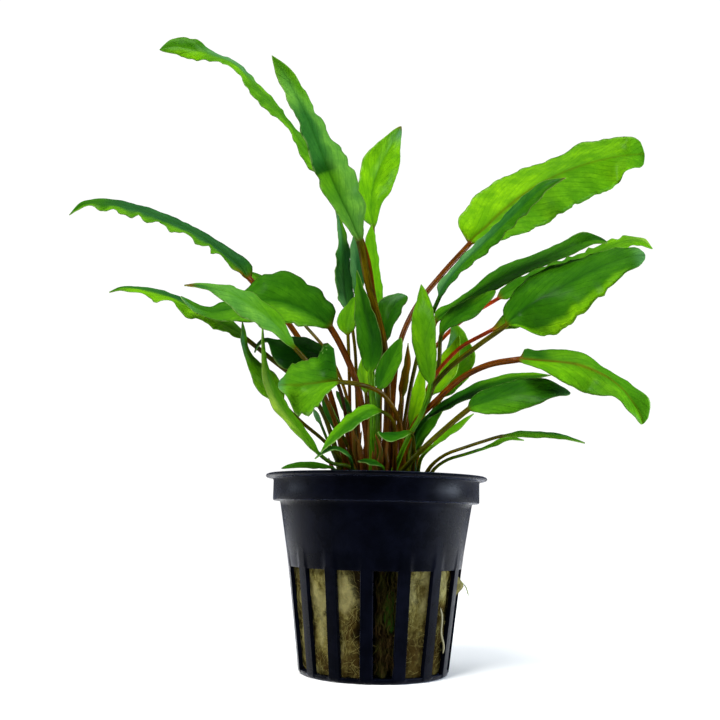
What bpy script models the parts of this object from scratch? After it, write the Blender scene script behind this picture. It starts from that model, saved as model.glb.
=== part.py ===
"""A potted cryptocoryne: a slotted net pot packed with rockwool, and leaves that are each one piece.

The pot's axis is Z, its base stands on Z = 0, and the plant is seen from -Y. Sizes are in millimetres until a
mesh is made.
"""

import math

import bmesh
import bpy
from mathutils import Vector
from mathutils.bvhtree import BVHTree

MM = 0.001

# The pot
POT_HEIGHT = 48.0
RIM_RADIUS = 28.0
COLLAR_RADIUS = 26.0
COLLAR_BOTTOM = 41.3
SHOULDER_RADIUS = 24.2
SLOT_TOP = 25.4
SLOT_TOP_RADIUS = 21.5
SLOT_BOTTOM = 1.15
BASE_RADIUS = 18.3
WALL = 0.8
FLOOR = 0.85
EDGE_ROUND = 0.6
RIB_COUNT = 15
RIB_WIDTH = 2.95
RIB_PROUD = 0.12
RIB_TOP = 32.0
FIRST_RIB_DEG = -6.1
POT_STEPS = 45

# What fills the pot
GAP = 0.4
WOOL_TOP = 44.4
WOOL_BOTTOM = FLOOR + GAP
WOOL_INNER_RADIUS = 11.0
WOOL_GAP_DEG = (-3.5, 15.5)
WOOL_STEPS = 40
ROOT_RADIUS = WOOL_INNER_RADIUS - GAP
ROOT_FRONT_RADIUS = 19.0
ROOT_TOP = WOOL_TOP - 0.7
CROWN_RADIUS = 13.0
CROWN_BOTTOM = WOOL_TOP + GAP
CROWN_TOP = CROWN_BOTTOM + 1.5
FOOT_HEIGHT = CROWN_TOP + 0.35

# The leaves' points are given as seen from EYE on the plane of the pot's axis. Each then slides along its
# sight line by its depth, which is negative towards the viewer.
EYE = Vector((-4.75, -240.0, 37.1))

# A leaf's section
BLADE_HALF_THICK = 0.2
MARGIN_BEVEL = 0.05
GROOVE = 0.16
LEAST_KEEL = 0.34
CLEARANCE = 0.17
SETTLE_STEP = 0.7
SETTLE_TRIES = 36

# Which margin of a blade lies farther from the viewer, looking along the leaf: 1 is far, -1 is near
FAR_LEFT, FAR_RIGHT = (1, -1), (-1, 1)


def leaf(name, foot, petiole, blade, half, tilt, thick):
    """One row of the leaf table.

    foot is (x, y) on the crown. petiole lists (x, z, depth), up to the joint. blade lists the blade's
    sections as (x, z, depth, left, right) from the joint to the tip, where left and right are how far the
    margins show on each side of the midrib, looking along the leaf. half is the blade's true half width,
    tilt says which margins lie far (1) or near (-1), and thick is the petiole's diameter.
    """
    return dict(name=name, foot=foot, petiole=petiole, blade=blade, half=half, tilt=tilt, thick=thick)


LEAVES = (
    leaf("leaf_left_01", (1.6, 5.0), [(2.6, 75, 6), (-0.4, 90, 7), (-2.4, 100, 8), (-4.4, 110, 8),
          (-9.4, 120, 8)],
         [(-12.8, 127.2, 8, 0.7, 0.7), (-14.6, 129.6, 8, 2.4, 2.2), (-17.8, 132.2, 9, 2.9, 4.2),
          (-21.4, 136.4, 10, 1.7, 2.2), (-25.4, 142, 11, 0.8, 0.8), (-29.6, 147.4, 12, 2.3, 1.3),
          (-34.5, 152.8, 14, 2.4, 1.0), (-40.5, 159, 16, 1.0, 1.0), (-46.5, 161.8, 18, 1.8, 1.0),
          (-52.5, 163.4, 20, 2.9, 3.1), (-57.5, 164.2, 21, 2.1, 2.6), (-61.6, 163.2, 21, 0, 0)],
         4.6, FAR_RIGHT, 1.3),
    leaf("leaf_left_02", (2.4, -2.2), [(2.6, 70, -6), (0.8, 85, -8), (-3.2, 99, -9)],
         [(-5.4, 109.6, -10, 0.9, 0.9), (-6.8, 112.8, -10.5, 1.5, 2.6), (-8.6, 116.8, -11, 2.2, 4.9),
          (-11, 121.6, -12, 3.1, 6.0), (-14.2, 128.6, -13, 3.2, 6.4), (-17.6, 137, -15, 2.9, 4.4),
          (-21.2, 145.6, -17, 2.8, 3.1), (-23.8, 150.6, -18, 2.5, 3.0), (-26.8, 156.4, -19.5, 2.3, 2.4),
          (-30.7, 162.3, -21, 0, 0)], 6.6, FAR_RIGHT, 2.1),
    leaf("leaf_left_03", (-4.4, 5.4), [(-5.6, 72, 11), (-6.4, 84, 13)],
         [(-7.6, 90, 14, 0.6, 0.6), (-8.6, 93.4, 15, 1.8, 1.9), (-9.3, 98, 16, 2.2, 2.3),
          (-9.8, 104, 16.5, 1.9, 2.2), (-10.2, 110, 17, 1.1, 1.6), (-11, 115, 18, 0.6, 0.8),
          (-12.6, 120.6, 19, 0, 0)], 3.6, FAR_RIGHT, 1.0),
    leaf("leaf_left_04", (3.6, 8.2), [(1.6, 75, 15), (-1.2, 95, 20), (-1.8, 105, 22)],
         [(-2, 113.4, 24, 0.7, 0.7), (-2.4, 116.4, 24.5, 2.2, 1.8), (-2.8, 120, 25, 3.0, 3.0),
          (-2.2, 126, 26, 4.0, 5.4), (-0.4, 131, 26, 5.0, 5.2), (1.7, 135.4, 26, 3.9, 3.7),
          (3.5, 139.2, 26, 2.0, 1.8), (5.1, 142.4, 26, 0, 0)], 6.4, FAR_RIGHT, 1.2),
    leaf("leaf_left_05", (0.8, 7.4), [(0.6, 75, 11)],
         [(-0.2, 90, 14, 0.7, 0.7), (-0.4, 93.6, 14.5, 1.7, 1.6), (-0.9, 98, 15, 2.2, 1.5),
          (-1.8, 104, 16, 2.2, 1.5), (-2.4, 110, 17, 1.6, 1.3), (-2.4, 114.6, 18, 0, 0)],
         3.4, FAR_RIGHT, 1.2),
    leaf("leaf_left_06", (4.0, 5.6), [(2.6, 72, 3)],
         [(1.5, 82, 2, 0.6, 0.6), (1.9, 85.2, 2, 2.6, 1.3), (2.5, 88.6, 2, 3.7, 1.9),
          (3.6, 91.9, 3, 3.9, 2.5), (5.3, 94, 3, 2.2, 1.8), (7.4, 95, 3, 0, 0)], 4.6, FAR_LEFT, 1.0),
    leaf("leaf_left_07", (-1.6, 7.0), [(-2.4, 75, 8)],
         [(-4.6, 92, 10, 0.5, 0.5), (-5.4, 96.5, 10.5, 1.4, 1.4), (-6.1, 101.5, 11.5, 1.6, 1.6),
          (-6.6, 107, 12, 1.3, 1.3), (-7, 112.3, 13, 0, 0)], 3.0, FAR_LEFT, 0.9),
    leaf("leaf_left_08", (-6.6, 2.8), [(-7.2, 68, 4)],
         [(-8, 84.3, 5, 0.5, 0.5), (-8.3, 86.8, 5, 2.5, 2.1), (-8, 89.4, 5, 2.4, 1.9),
          (-7.3, 91.9, 5, 1.5, 1.1), (-6.4, 94.6, 5, 0, 0)], 3.2, FAR_LEFT, 1.0),
    leaf("leaf_left_09", (-0.8, -2.8), [(-1, 60, -6), (-1.2, 69, -8)],
         [(-1.8, 74.6, -9, 1.0, 1.0), (-2, 78, -8.5, 2.4, 2.6), (-2.4, 83, -8, 3.2, 3.3),
          (-3.4, 89, -7, 2.9, 2.5), (-4.6, 94.4, -6, 1.9, 1.5), (-5.4, 98.4, -5.5, 0.9, 0.8),
          (-6, 101.8, -5, 0, 0)], 4.6, FAR_LEFT, 2.0),
    leaf("leaf_left_10", (0.6, -5.6), [(0.1, 62, -10)],
         [(0.3, 70, -13, 0.6, 0.6), (1, 72.4, -14, 1.9, 2.0), (2.2, 75.4, -15, 2.6, 2.7),
          (3.6, 78.6, -16, 2.5, 2.5), (4.9, 81.4, -17, 1.5, 1.5), (5.9, 83.9, -18, 0, 0)],
         3.6, FAR_LEFT, 1.2),
    leaf("leaf_left_11", (-2.2, 3.6), [(-2.6, 60, 3)],
         [(-3, 69, 2, 0.5, 0.5), (-3.5, 72, 2, 1.7, 1.6), (-3.9, 75, 2, 1.5, 1.4), (-3.9, 79, 2, 0, 0)],
         2.6, FAR_LEFT, 1.0),
    leaf("leaf_left_12", (-2.2, -0.4), [(-2.4, 57, -2), (-4.2, 66, -4), (-6.6, 75, -6)],
         [(-12.6, 86.2, -9, 0.8, 0.8), (-14.4, 87.6, -9.5, 1.7, 4.8), (-17.4, 89.6, -11, 3.4, 5.9),
          (-20.6, 91.2, -12, 4.6, 7.0), (-24.6, 92.6, -13.5, 5.3, 8.0), (-29.4, 93.2, -15, 5.9, 7.8),
          (-34.4, 92.6, -17, 5.4, 3.7), (-39, 90.6, -19, 3.6, 2.8), (-44.4, 89.8, -20, 1.9, 1.6),
          (-48.6, 91.2, -20.5, 1.1, 1.0), (-52.2, 93.8, -21, 0, 0)], 9.0, FAR_RIGHT, 1.8),
    leaf("leaf_left_13", (-7.0, -5.2), [(-9.6, 58, -10), (-13.6, 68, -16), (-17.4, 76, -21)],
         [(-21.8, 80.7, -25, 0.5, 0.5), (-23.6, 83, -27, 1.4, 1.0), (-26.4, 86.2, -29, 2.3, 2.3),
          (-29.8, 89.2, -31, 3.3, 2.7), (-34, 92.1, -34, 3.9, 2.9), (-38.4, 94.4, -36.5, 3.0, 2.4),
          (-43, 96, -39, 1.5, 1.3), (-47.4, 97, -40.5, 0.9, 0.5), (-51.4, 96.8, -42, 0, 0)],
         4.8, FAR_RIGHT, 1.2),
    leaf("leaf_left_14", (-8.6, -2.4), [(-13, 62, -3), (-20, 71.4, -6), (-27, 77, -9)],
         [(-34.6, 82.9, -11, 0.6, 0.6), (-37, 84.6, -11.5, 1.4, 1.4), (-40.4, 86.6, -12, 1.9, 2.2),
          (-44.4, 88.8, -13, 2.4, 1.9), (-48.6, 90.8, -14, 2.6, 1.3), (-53.4, 92.9, -15, 1.3, 1.3),
          (-58.6, 94.6, -15.5, 2.2, 1.0), (-63.6, 95.6, -16, 1.3, 0.6), (-68, 95.6, -16.5, 0.5, 0.4),
          (-71, 94.5, -17, 0, 0)], 4.6, FAR_RIGHT, 1.3),
    leaf("leaf_left_15", (-7.2, 5.2), [(-12, 68, 8), (-18.4, 79.6, 10), (-25, 89, 12)],
         [(-34.3, 99, 14, 0.8, 0.8), (-36, 101.2, 14.5, 1.3, 2.6), (-39, 104.2, 15, 1.9, 2.1),
          (-43, 107.3, 16, 1.8, 1.6), (-48.6, 110.8, 17, 2.2, 1.4), (-55, 113.9, 18, 2.1, 1.4),
          (-62, 116.6, 18.5, 2.4, 1.2), (-69, 118.4, 19, 1.9, 1.2), (-75, 119, 20, 1.5, 1.2),
          (-79.6, 118.4, 20, 0.8, 0.8), (-83, 115.4, 20, 0, 0)], 4.8, FAR_RIGHT, 1.7),
    leaf("leaf_left_16", (-5.0, 8.0), [(-9, 72, 16), (-16.2, 83, 20)],
         [(-19.4, 86.8, 22, 0.5, 0.5), (-22.4, 90, 23, 1.9, 2.0), (-26.4, 94, 25, 2.4, 2.4),
          (-30.6, 97.8, 27, 1.6, 1.7), (-34.6, 101, 28, 0, 0)], 4.0, FAR_RIGHT, 1.0),
    leaf("leaf_left_17", (-6.6, 0.2), [(-8.6, 66, 0)],
         [(-13.4, 77.4, -4, 0.5, 0.5), (-15.4, 79, -5, 2.4, 2.2), (-18.4, 79.8, -6.5, 4.2, 3.4),
          (-22.4, 80, -8, 5.2, 3.8), (-26.2, 81.2, -10, 3.6, 1.8), (-29, 82.5, -11, 0.6, 0.6),
          (-31.2, 81.6, -12, 0.3, 0.3), (-32.2, 79.2, -12, 0, 0)], 5.6, FAR_RIGHT, 1.0),
    leaf("leaf_left_18", (6.6, -5.4), [(6.3, 58, -12), (4.4, 65, -17), (0.4, 69.7, -21), (-4.6, 71.4, -25)],
         [(-10.2, 72, -28, 0.6, 0.6), (-11.1, 72, -28.4, 1.2, 8.8), (-12.2, 71.9, -28.8, 2.0, 10.5),
          (-14, 71.7, -29.5, 3.6, 8.6), (-16, 71.4, -30.3, 6.2, 6.9), (-18.4, 71.2, -31.2, 7.6, 6.4),
          (-21, 70.9, -32, 8.2, 6.0), (-22.9, 70.8, -32.6, 4.4, 4.6), (-24.4, 70.7, -33, 2.0, 2.4),
          (-25.8, 70.6, -33, 0, 0)], 9.8, FAR_RIGHT, 1.2),
    leaf("leaf_left_19", (-4.4, -5.4), [(-11.6, 55, -8), (-18.6, 60.6, -11)],
         [(-24.4, 66, -14, 0.5, 0.5), (-26, 68, -14.5, 2.0, 2.2), (-28.4, 71, -15, 3.0, 3.0),
          (-31, 74.4, -16, 2.4, 2.3), (-33.3, 77.4, -17, 1.1, 1.1), (-34.7, 80.6, -18, 0.9, 0.9),
          (-35.3, 84, -18, 0.7, 0.7), (-35.7, 87.4, -18, 0, 0)], 3.4, FAR_RIGHT, 1.0),
    leaf("leaf_left_20", (-3.4, -8.0), [(-6.6, 50.1, -14), (-11.4, 51, -18)],
         [(-14.6, 53.2, -20, 0.5, 0.5), (-16.8, 55.7, -21, 1.0, 1.0), (-19.8, 59.2, -22, 1.4, 1.4),
          (-22.8, 62.6, -23, 1.6, 1.6), (-25.4, 66, -23.5, 1.9, 1.8), (-27.8, 70.4, -24.5, 1.6, 1.5),
          (-29.3, 75.4, -25.5, 0.9, 0.9), (-30, 81, -26, 0.4, 0.4), (-30.4, 87, -27, 0, 0)],
         2.6, FAR_RIGHT, 1.0),
    leaf("leaf_left_21", (-8.8, -7.6), [(-9.8, 48.6, -9)],
         [(-11.4, 49.9, -11, 0.4, 0.4), (-14.6, 50.3, -12, 0.8, 0.8), (-18.4, 50.5, -13, 0.8, 0.8),
          (-22, 50, -13, 0.6, 0.6), (-24.2, 49.4, -12, 0, 0)], 2.2, FAR_RIGHT, 0.8),
    leaf("leaf_left_22", (4.2, -8.2), [(4.6, 60, -20), (3, 63.2, -24)],
         [(0.9, 64.6, -27, 0.5, 0.5), (-1.6, 64.7, -30, 1.5, 1.6), (-4.6, 63.4, -33, 1.8, 1.9),
          (-8, 60.8, -37, 1.8, 1.7), (-11.2, 57.6, -40, 1.1, 1.2), (-14.3, 53.7, -43, 0, 0)],
         3.2, FAR_RIGHT, 0.9),
    leaf("leaf_left_23", (8.6, -7.8), [(9.6, 54, -18)],
         [(8.8, 59.2, -24, 0.3, 0.3), (6, 58.6, -28, 1.0, 0.9), (3.4, 58.1, -31, 1.3, 1.1),
          (1.4, 58.5, -33, 0.7, 0.6), (0.2, 59.2, -34, 0, 0)], 2.4, FAR_RIGHT, 0.8),
    leaf("leaf_left_24", (1.4, -10.4), [(1.9, 49.2, -15)],
         [(1.2, 50.6, -20, 0.3, 0.3), (-0.6, 51.4, -23, 0.7, 0.6), (-2.6, 51.8, -26, 0.7, 0.5),
          (-4.8, 51.6, -28, 0, 0)], 2.0, FAR_RIGHT, 0.8),
    leaf("leaf_left_25", (-5.4, -10.2), [(-6.2, 50.6, -18)],
         [(-6.8, 52.6, -20, 0.3, 0.3), (-8.4, 54.1, -22, 0.5, 0.5), (-10.8, 54.8, -24, 0.5, 0.5),
          (-13.4, 54, -26, 0.4, 0.4), (-15.8, 52, -27, 0, 0)], 1.8, FAR_RIGHT, 0.8),
    leaf("leaf_left_26", (-4.6, 2.4), [(-5.2, 57, 2)],
         [(-6.4, 62.6, 1, 0.4, 0.4), (-8.2, 65.6, 0, 1.3, 1.2), (-9.6, 67.8, 0, 0.8, 0.8),
          (-10.7, 69.6, 0, 0, 0)], 2.2, FAR_LEFT, 1.0),
    leaf("leaf_left_27", (-4.6, -2.8), [(-6.4, 53, -4)],
         [(-8.8, 58, -6, 0.4, 0.4), (-10.8, 61.4, -8, 1.3, 1.2), (-12.8, 65, -9, 1.3, 1.2),
          (-14.2, 68.6, -10, 0, 0)], 2.4, FAR_LEFT, 1.0),
    leaf("leaf_left_28", (-8.4, 0.0), [(-10, 51, 0), (-12.4, 56.2, 0)],
         [(-14.4, 60.8, 0, 0.3, 0.3), (-15.4, 62.8, 0, 0.8, 0.7), (-16.4, 64.7, 0, 0, 0)],
         1.6, FAR_LEFT, 0.8),
    leaf("leaf_right_01", (3.4, 10.6), [(4.4, 75, 12), (7.4, 88, 15), (13.2, 97, 17), (19, 104.4, 19)],
         [(23.8, 109.8, 21, 0.8, 0.8), (25, 111.4, 21.5, 6.0, 1.6), (27.6, 113.8, 22, 7.4, 4.6),
          (32, 118.4, 24, 8.0, 7.8), (38, 123.6, 26, 6.8, 10.0), (44, 127.6, 27, 5.4, 9.8),
          (50, 130.6, 29, 4.7, 9.4), (56, 132.9, 30, 6.2, 8.8), (62, 134.5, 31, 5.4, 7.6),
          (64.6, 135, 31.6, 5.6, 4.6), (67.2, 135.4, 32, 5.4, 3.7), (69.8, 135.7, 33, 4.2, 3.5),
          (71, 135.8, 33, 0, 0)],
         10.2, FAR_LEFT, 1.7),
    leaf("leaf_right_02", (4.8, 2.6), [(9.6, 77, 4), (12.8, 87.6, 0)],
         [(15.8, 95, -5, 0.6, 0.6), (17, 97.6, -6, 1.9, 0.9), (19.4, 101.2, -7.5, 1.5, 1.3),
          (23, 105.4, -9.5, 1.5, 1.9), (27.4, 109.8, -12, 1.7, 2.4), (32, 114.4, -15, 1.6, 2.2),
          (36.4, 119, -18, 1.8, 2.2), (40.6, 123.4, -21, 1.6, 2.1), (44.4, 126.6, -23, 1.2, 1.4),
          (49.6, 128.6, -25, 0, 0)], 4.2, FAR_LEFT, 1.2),
    leaf("leaf_right_03", (6.8, 5.2), [(9.6, 68, 7), (12.8, 82.4, 6)],
         [(14.8, 88.2, 4, 0.6, 0.6), (16.4, 90, 3, 2.0, 1.0), (20, 92.6, 1, 1.5, 1.6),
          (25.4, 96.2, -1, 1.7, 1.9), (31, 99.9, -3, 2.8, 2.1), (37.4, 103.4, -6, 2.4, 2.1),
          (44, 106.4, -9, 1.9, 1.9), (50, 109, -11.5, 2.5, 2.1), (54.6, 111, -13, 2.8, 1.6),
          (57.6, 111.4, -14, 1.2, 1.0), (60.4, 110.8, -15, 0, 0)], 5.0, FAR_LEFT, 1.2),
    leaf("leaf_right_04", (7.6, 2.6), [(10, 63, 3), (13.4, 68.6, 2), (15.6, 76, 0)],
         [(16.2, 84.6, -2, 0.5, 0.5), (17.8, 87.6, -2.5, 2.0, 1.2), (21, 90.4, -4, 2.6, 2.5),
          (24.6, 92.8, -6, 2.2, 2.6), (28, 95.2, -8, 1.3, 1.5), (30.6, 97, -9, 0, 0)], 4.2, FAR_LEFT, 1.2),
    leaf("leaf_right_05", (6.4, 0.0), [(10.4, 64, -2), (16, 73.4, -6), (22, 79.2, -10)],
         [(33.4, 87.9, -14, 0.7, 0.7), (34.8, 89.4, -14.3, 3.4, 2.8), (37.2, 91.6, -15, 4.8, 8.4),
          (41, 94.2, -16.5, 6.2, 9.9), (46, 97.2, -17.5, 6.6, 9.4), (51, 100.1, -18.5, 5.6, 8.2),
          (56, 102.8, -20, 4.4, 6.8), (61, 105.1, -21, 3.9, 4.8), (66, 106.8, -22, 2.9, 3.2),
          (69, 107.3, -23, 2.1, 2.3), (70.3, 107.4, -23, 0, 0)], 9.9, FAR_LEFT, 1.4),
    leaf("leaf_right_06", (6.2, 8.0), [(9.6, 70, 14), (15, 82, 16), (22, 89, 18)],
         [(31, 94.8, 20, 0.5, 0.5), (33.4, 96.4, 20.5, 1.8, 1.6), (37.4, 98.8, 21.2, 2.2, 2.6),
          (43, 101.4, 22.2, 2.4, 3.0), (49, 103.8, 23.2, 2.2, 3.0), (55, 106.6, 24, 1.9, 2.6),
          (60.4, 109.4, 25, 1.6, 1.8), (65.4, 111.3, 25.6, 1.3, 1.6), (69.6, 111.3, 26, 1.0, 1.2),
          (72.3, 109.3, 26, 0, 0)], 5.6, FAR_LEFT, 1.2),
    leaf("leaf_right_07", (5.2, -2.8), [(8.6, 59.6, -10), (13.4, 65.6, -15), (20, 72.4, -20), (28, 77, -25)],
         [(36.6, 78.8, -29, 0.7, 0.7), (37.8, 78.7, -29.3, 2.9, 1.0), (41.4, 78.5, -30, 2.8, 1.8),
          (46.4, 78.3, -31, 3.4, 4.1), (51.4, 77.8, -31.8, 3.5, 6.1), (56, 76.3, -32.6, 2.4, 6.4),
          (60, 74.2, -33.4, 1.7, 5.2), (63.4, 71.2, -34, 2.7, 3.0), (66.4, 67, -34, 4.4, 1.9),
          (67.6, 64.6, -34, 2.6, 1.2), (68.1, 62.5, -34, 0, 0)], 6.8, FAR_LEFT, 1.6),
    leaf("leaf_right_08", (4.4, -11.0), [(9, 52.2, -18), (15, 58.2, -23)],
         [(23.4, 65.5, -26, 0.6, 0.6), (25, 66.5, -26.4, 2.1, 2.0), (28.4, 67.8, -27.4, 2.9, 3.8),
          (33.4, 69.4, -28.2, 3.3, 4.8), (38.6, 70.6, -29, 3.4, 4.4), (43.6, 71, -29.6, 2.8, 2.8),
          (47.2, 70.8, -30, 1.3, 1.4), (49.8, 70.1, -30, 0, 0)], 5.2, FAR_LEFT, 1.4),
    leaf("leaf_right_09", (9.4, -4.8), [(9.6, 57.4, -8)],
         [(12.4, 62.8, -11, 0.7, 0.7), (16, 65.6, -13.5, 1.0, 1.1), (21, 68.6, -15.5, 1.2, 1.5),
          (26.6, 71.4, -17, 1.4, 1.8), (32.4, 73.3, -18, 1.3, 1.7), (38.4, 74.4, -19, 1.1, 1.2),
          (44.8, 74.8, -20, 0, 0)], 3.6, FAR_LEFT, 1.3),
    leaf("leaf_right_10", (3.4, -5.4), [(7.6, 57, -9), (12.2, 66, -11)],
         [(13.6, 71.8, -11, 0.6, 0.6), (13.1, 75, -11, 2.0, 1.8), (12.4, 79.6, -11, 2.9, 2.8),
          (11.8, 85, -11, 3.2, 3.2), (11.5, 90, -11, 2.8, 3.0), (11.3, 94.2, -10, 1.5, 2.0),
          (11, 98.4, -9, 0, 0)], 4.0, FAR_LEFT, 1.3),
    leaf("leaf_right_11", (7.6, -2.6), [(8, 55, -5)],
         [(8.6, 60.4, -6, 0.5, 0.5), (9.3, 63.6, -6, 1.3, 1.4), (10.2, 67.6, -6, 1.8, 1.9),
          (10.9, 72, -6, 1.4, 1.5), (11.2, 77, -6, 0, 0)], 3.0, FAR_LEFT, 1.1),
    leaf("leaf_right_12", (9.2, 5.0), [(11.4, 62, 6)],
         [(13.6, 68.8, 6, 0.5, 0.5), (14.8, 71.2, 6, 1.9, 2.0), (16.6, 74.8, 6, 2.8, 3.2),
          (18.4, 78.6, 6, 2.3, 2.8), (19.9, 81.8, 6, 1.1, 1.4), (21, 84.8, 6, 0, 0)], 4.2, FAR_LEFT, 1.1),
    leaf("leaf_right_13", (8.8, 7.6), [(12.6, 62, 12)],
         [(16.4, 68.2, 13, 0.5, 0.5), (18.2, 71.4, 13.5, 2.2, 2.4), (20, 75.6, 14.2, 3.4, 4.0),
          (20.9, 80, 15, 3.4, 4.2), (20.6, 84, 15, 2.2, 2.6), (19.4, 88.4, 15, 0, 0)], 5.6, FAR_LEFT, 1.1),
    leaf("leaf_right_14", (4.8, 0.2), [(5.2, 58, 1)],
         [(5.8, 66, 1, 0.4, 0.4), (6.6, 71, 1, 1.0, 1.0), (7.5, 76.6, 1, 0.9, 0.9), (7.7, 82.6, 1, 0, 0)],
         2.2, FAR_LEFT, 1.0),
    leaf("leaf_right_15", (10.6, -1.0), [(9.8, 50, -2)],
         [(9.6, 54.2, -3, 0.4, 0.4), (10.6, 57.2, -3.6, 1.4, 1.3), (12.6, 60.8, -4.4, 1.8, 1.7),
          (14.8, 63.4, -5, 1.1, 1.1), (16.9, 65.3, -5.6, 0, 0)], 3.0, FAR_LEFT, 1.0),
    leaf("leaf_right_16", (10.0, -7.6), [(11.2, 52.4, -14)],
         [(14, 55.7, -17, 0.5, 0.5), (17, 58.2, -18, 0.9, 0.8), (20.5, 60.9, -19, 0.9, 0.8),
          (24.8, 64.4, -20, 0, 0)], 2.2, FAR_LEFT, 1.0),
    leaf("leaf_right_17", (11.4, -5.4), [(15, 52.2, -9), (20, 54.7, -11), (26, 56.9, -12)],
         [(32, 58.8, -13, 0.5, 0.5), (36, 59.3, -14, 0.7, 0.8), (41, 59.4, -14, 0.8, 0.9),
          (46, 59.1, -15, 0.7, 0.7), (50, 58.4, -15, 0.3, 0.3), (53.3, 57.4, -15, 0, 0)],
         2.6, FAR_LEFT, 0.9),
    leaf("leaf_right_18", (12.4, -2.8), [(16, 51.4, -3), (21, 53.4, -3)],
         [(26, 55.1, -3, 0.4, 0.4), (30, 56.7, -3, 0.5, 0.5), (34, 58.2, -3, 0.5, 0.5),
          (37.7, 57.8, -3, 0, 0)], 1.8, FAR_LEFT, 0.9),
    leaf("leaf_right_19", (9.2, 1.6), [(13, 71, 0), (22.4, 82.6, -4)],
         [(29.4, 86.4, -7, 0.5, 0.5), (35, 89.6, -8, 2.4, 2.6), (42, 93.8, -9, 3.0, 3.0),
          (48, 96.8, -10, 1.8, 2.0), (52.4, 98.4, -11, 0, 0)], 4.6, FAR_LEFT, 1.1),
)

COLOURS = {
    "pot": ((0.012, 0.014, 0.024), 0.32),
    "wool": ((0.33, 0.31, 0.13), 0.95),
    "root_ball": ((0.07, 0.045, 0.02), 0.9),
    "crown": ((0.16, 0.11, 0.03), 0.8),
    "leaf": ((0.07, 0.28, 0.02), 0.4),
}


def material(kind):
    """The Principled material of one kind of piece, made the first time it is asked for."""
    found = bpy.data.materials.get(kind)
    if found:
        return found
    colour, roughness = COLOURS[kind]
    made = bpy.data.materials.new(kind)
    made.use_nodes = True
    shader = made.node_tree.nodes["Principled BSDF"]
    shader.inputs["Base Color"].default_value = (*colour, 1.0)
    shader.inputs["Roughness"].default_value = roughness
    shader.inputs["Metallic"].default_value = 0.0
    return made


def add_object(name, mesh_in_mm, kind, helper=False):
    """Turns a bmesh in millimetres into an object in metres, with outward faces and smooth rounds."""
    bmesh.ops.scale(mesh_in_mm, vec=(MM, MM, MM), verts=mesh_in_mm.verts)
    bmesh.ops.recalc_face_normals(mesh_in_mm, faces=mesh_in_mm.faces)
    data = bpy.data.meshes.new(name)
    mesh_in_mm.to_mesh(data)
    mesh_in_mm.free()
    data.shade_smooth()
    data.set_sharp_from_angle(angle=math.radians(35))
    data.materials.append(material(kind))
    made = bpy.data.objects.new(name, data)
    bpy.context.scene.collection.objects.link(made)
    if helper:
        made.hide_render = True
        made.display_type = "WIRE"
    return made


def wall_radius(z):
    """The pot's outer radius below the collar."""
    if z <= SLOT_TOP:
        return BASE_RADIUS + (SLOT_TOP_RADIUS - BASE_RADIUS) * z / SLOT_TOP
    return SLOT_TOP_RADIUS + (SHOULDER_RADIUS - SLOT_TOP_RADIUS) * (z - SLOT_TOP) / (COLLAR_BOTTOM - SLOT_TOP)


def around(degrees, radius, z):
    """A point at an angle from the pot's front, positive to the viewer's right."""
    turn = math.radians(degrees)
    return Vector((radius * math.sin(turn), -radius * math.cos(turn), z))


def spun(profile, first_deg, sweep_deg, steps):
    """A bmesh of a (radius, z) profile turned round the pot's axis, with closed ends where it stops short."""
    shape = bmesh.new()
    verts = [shape.verts.new(around(first_deg, radius, z)) for radius, z in profile]
    full = sweep_deg >= 360
    on_axis = [v for v in verts if v.co.xy.length < EDGE_ROUND / 10]
    edges = [shape.edges.new(pair) for pair in zip(verts, verts[1:])]
    if not on_axis:
        edges.append(shape.edges.new((verts[-1], verts[0])))
    geometry = verts + edges
    if not full:
        geometry.append(shape.faces.new(verts))
    bmesh.ops.spin(shape, geom=geometry, axis=(0, 0, 1), cent=(0, 0, 0), steps=steps,
                   angle=math.radians(sweep_deg), use_merge=full)
    bmesh.ops.remove_doubles(shape, verts=shape.verts, dist=EDGE_ROUND / 100)
    return shape


def box_between(shape, corners):
    """Adds a closed block to the bmesh with eight corners, the lower four first, each four going round."""
    verts = [shape.verts.new(corner) for corner in corners]
    for face in ((0, 1, 2, 3), (4, 5, 6, 7), (0, 1, 5, 4), (1, 2, 6, 5), (2, 3, 7, 6), (3, 0, 4, 7)):
        shape.faces.new([verts[i] for i in face])


def slot_half_width(radius):
    """Half of the opening between two ribs of even width, at a radius."""
    half_pitch = math.pi / RIB_COUNT
    return (radius * math.sin(half_pitch) - RIB_WIDTH / 2) / math.cos(half_pitch)


def ring_of_blocks(first_deg, heights, plan):
    """One block for each rib or slot. plan(z) gives inner and outer (radius, half width) at a height."""
    shape = bmesh.new()
    for index in range(RIB_COUNT):
        turn = first_deg + index * 360 / RIB_COUNT
        out, across = around(turn, 1, 0), around(turn + 90, 1, 0)
        corners = []
        for z in heights:
            (inner, inner_half), (outer, outer_half) = plan(z)
            corners += [out * radius + across * half + Vector((0, 0, z)) for radius, half in (
                (inner, -inner_half), (outer, -outer_half), (outer, outer_half), (inner, inner_half))]
        box_between(shape, corners)
    return shape


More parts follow.
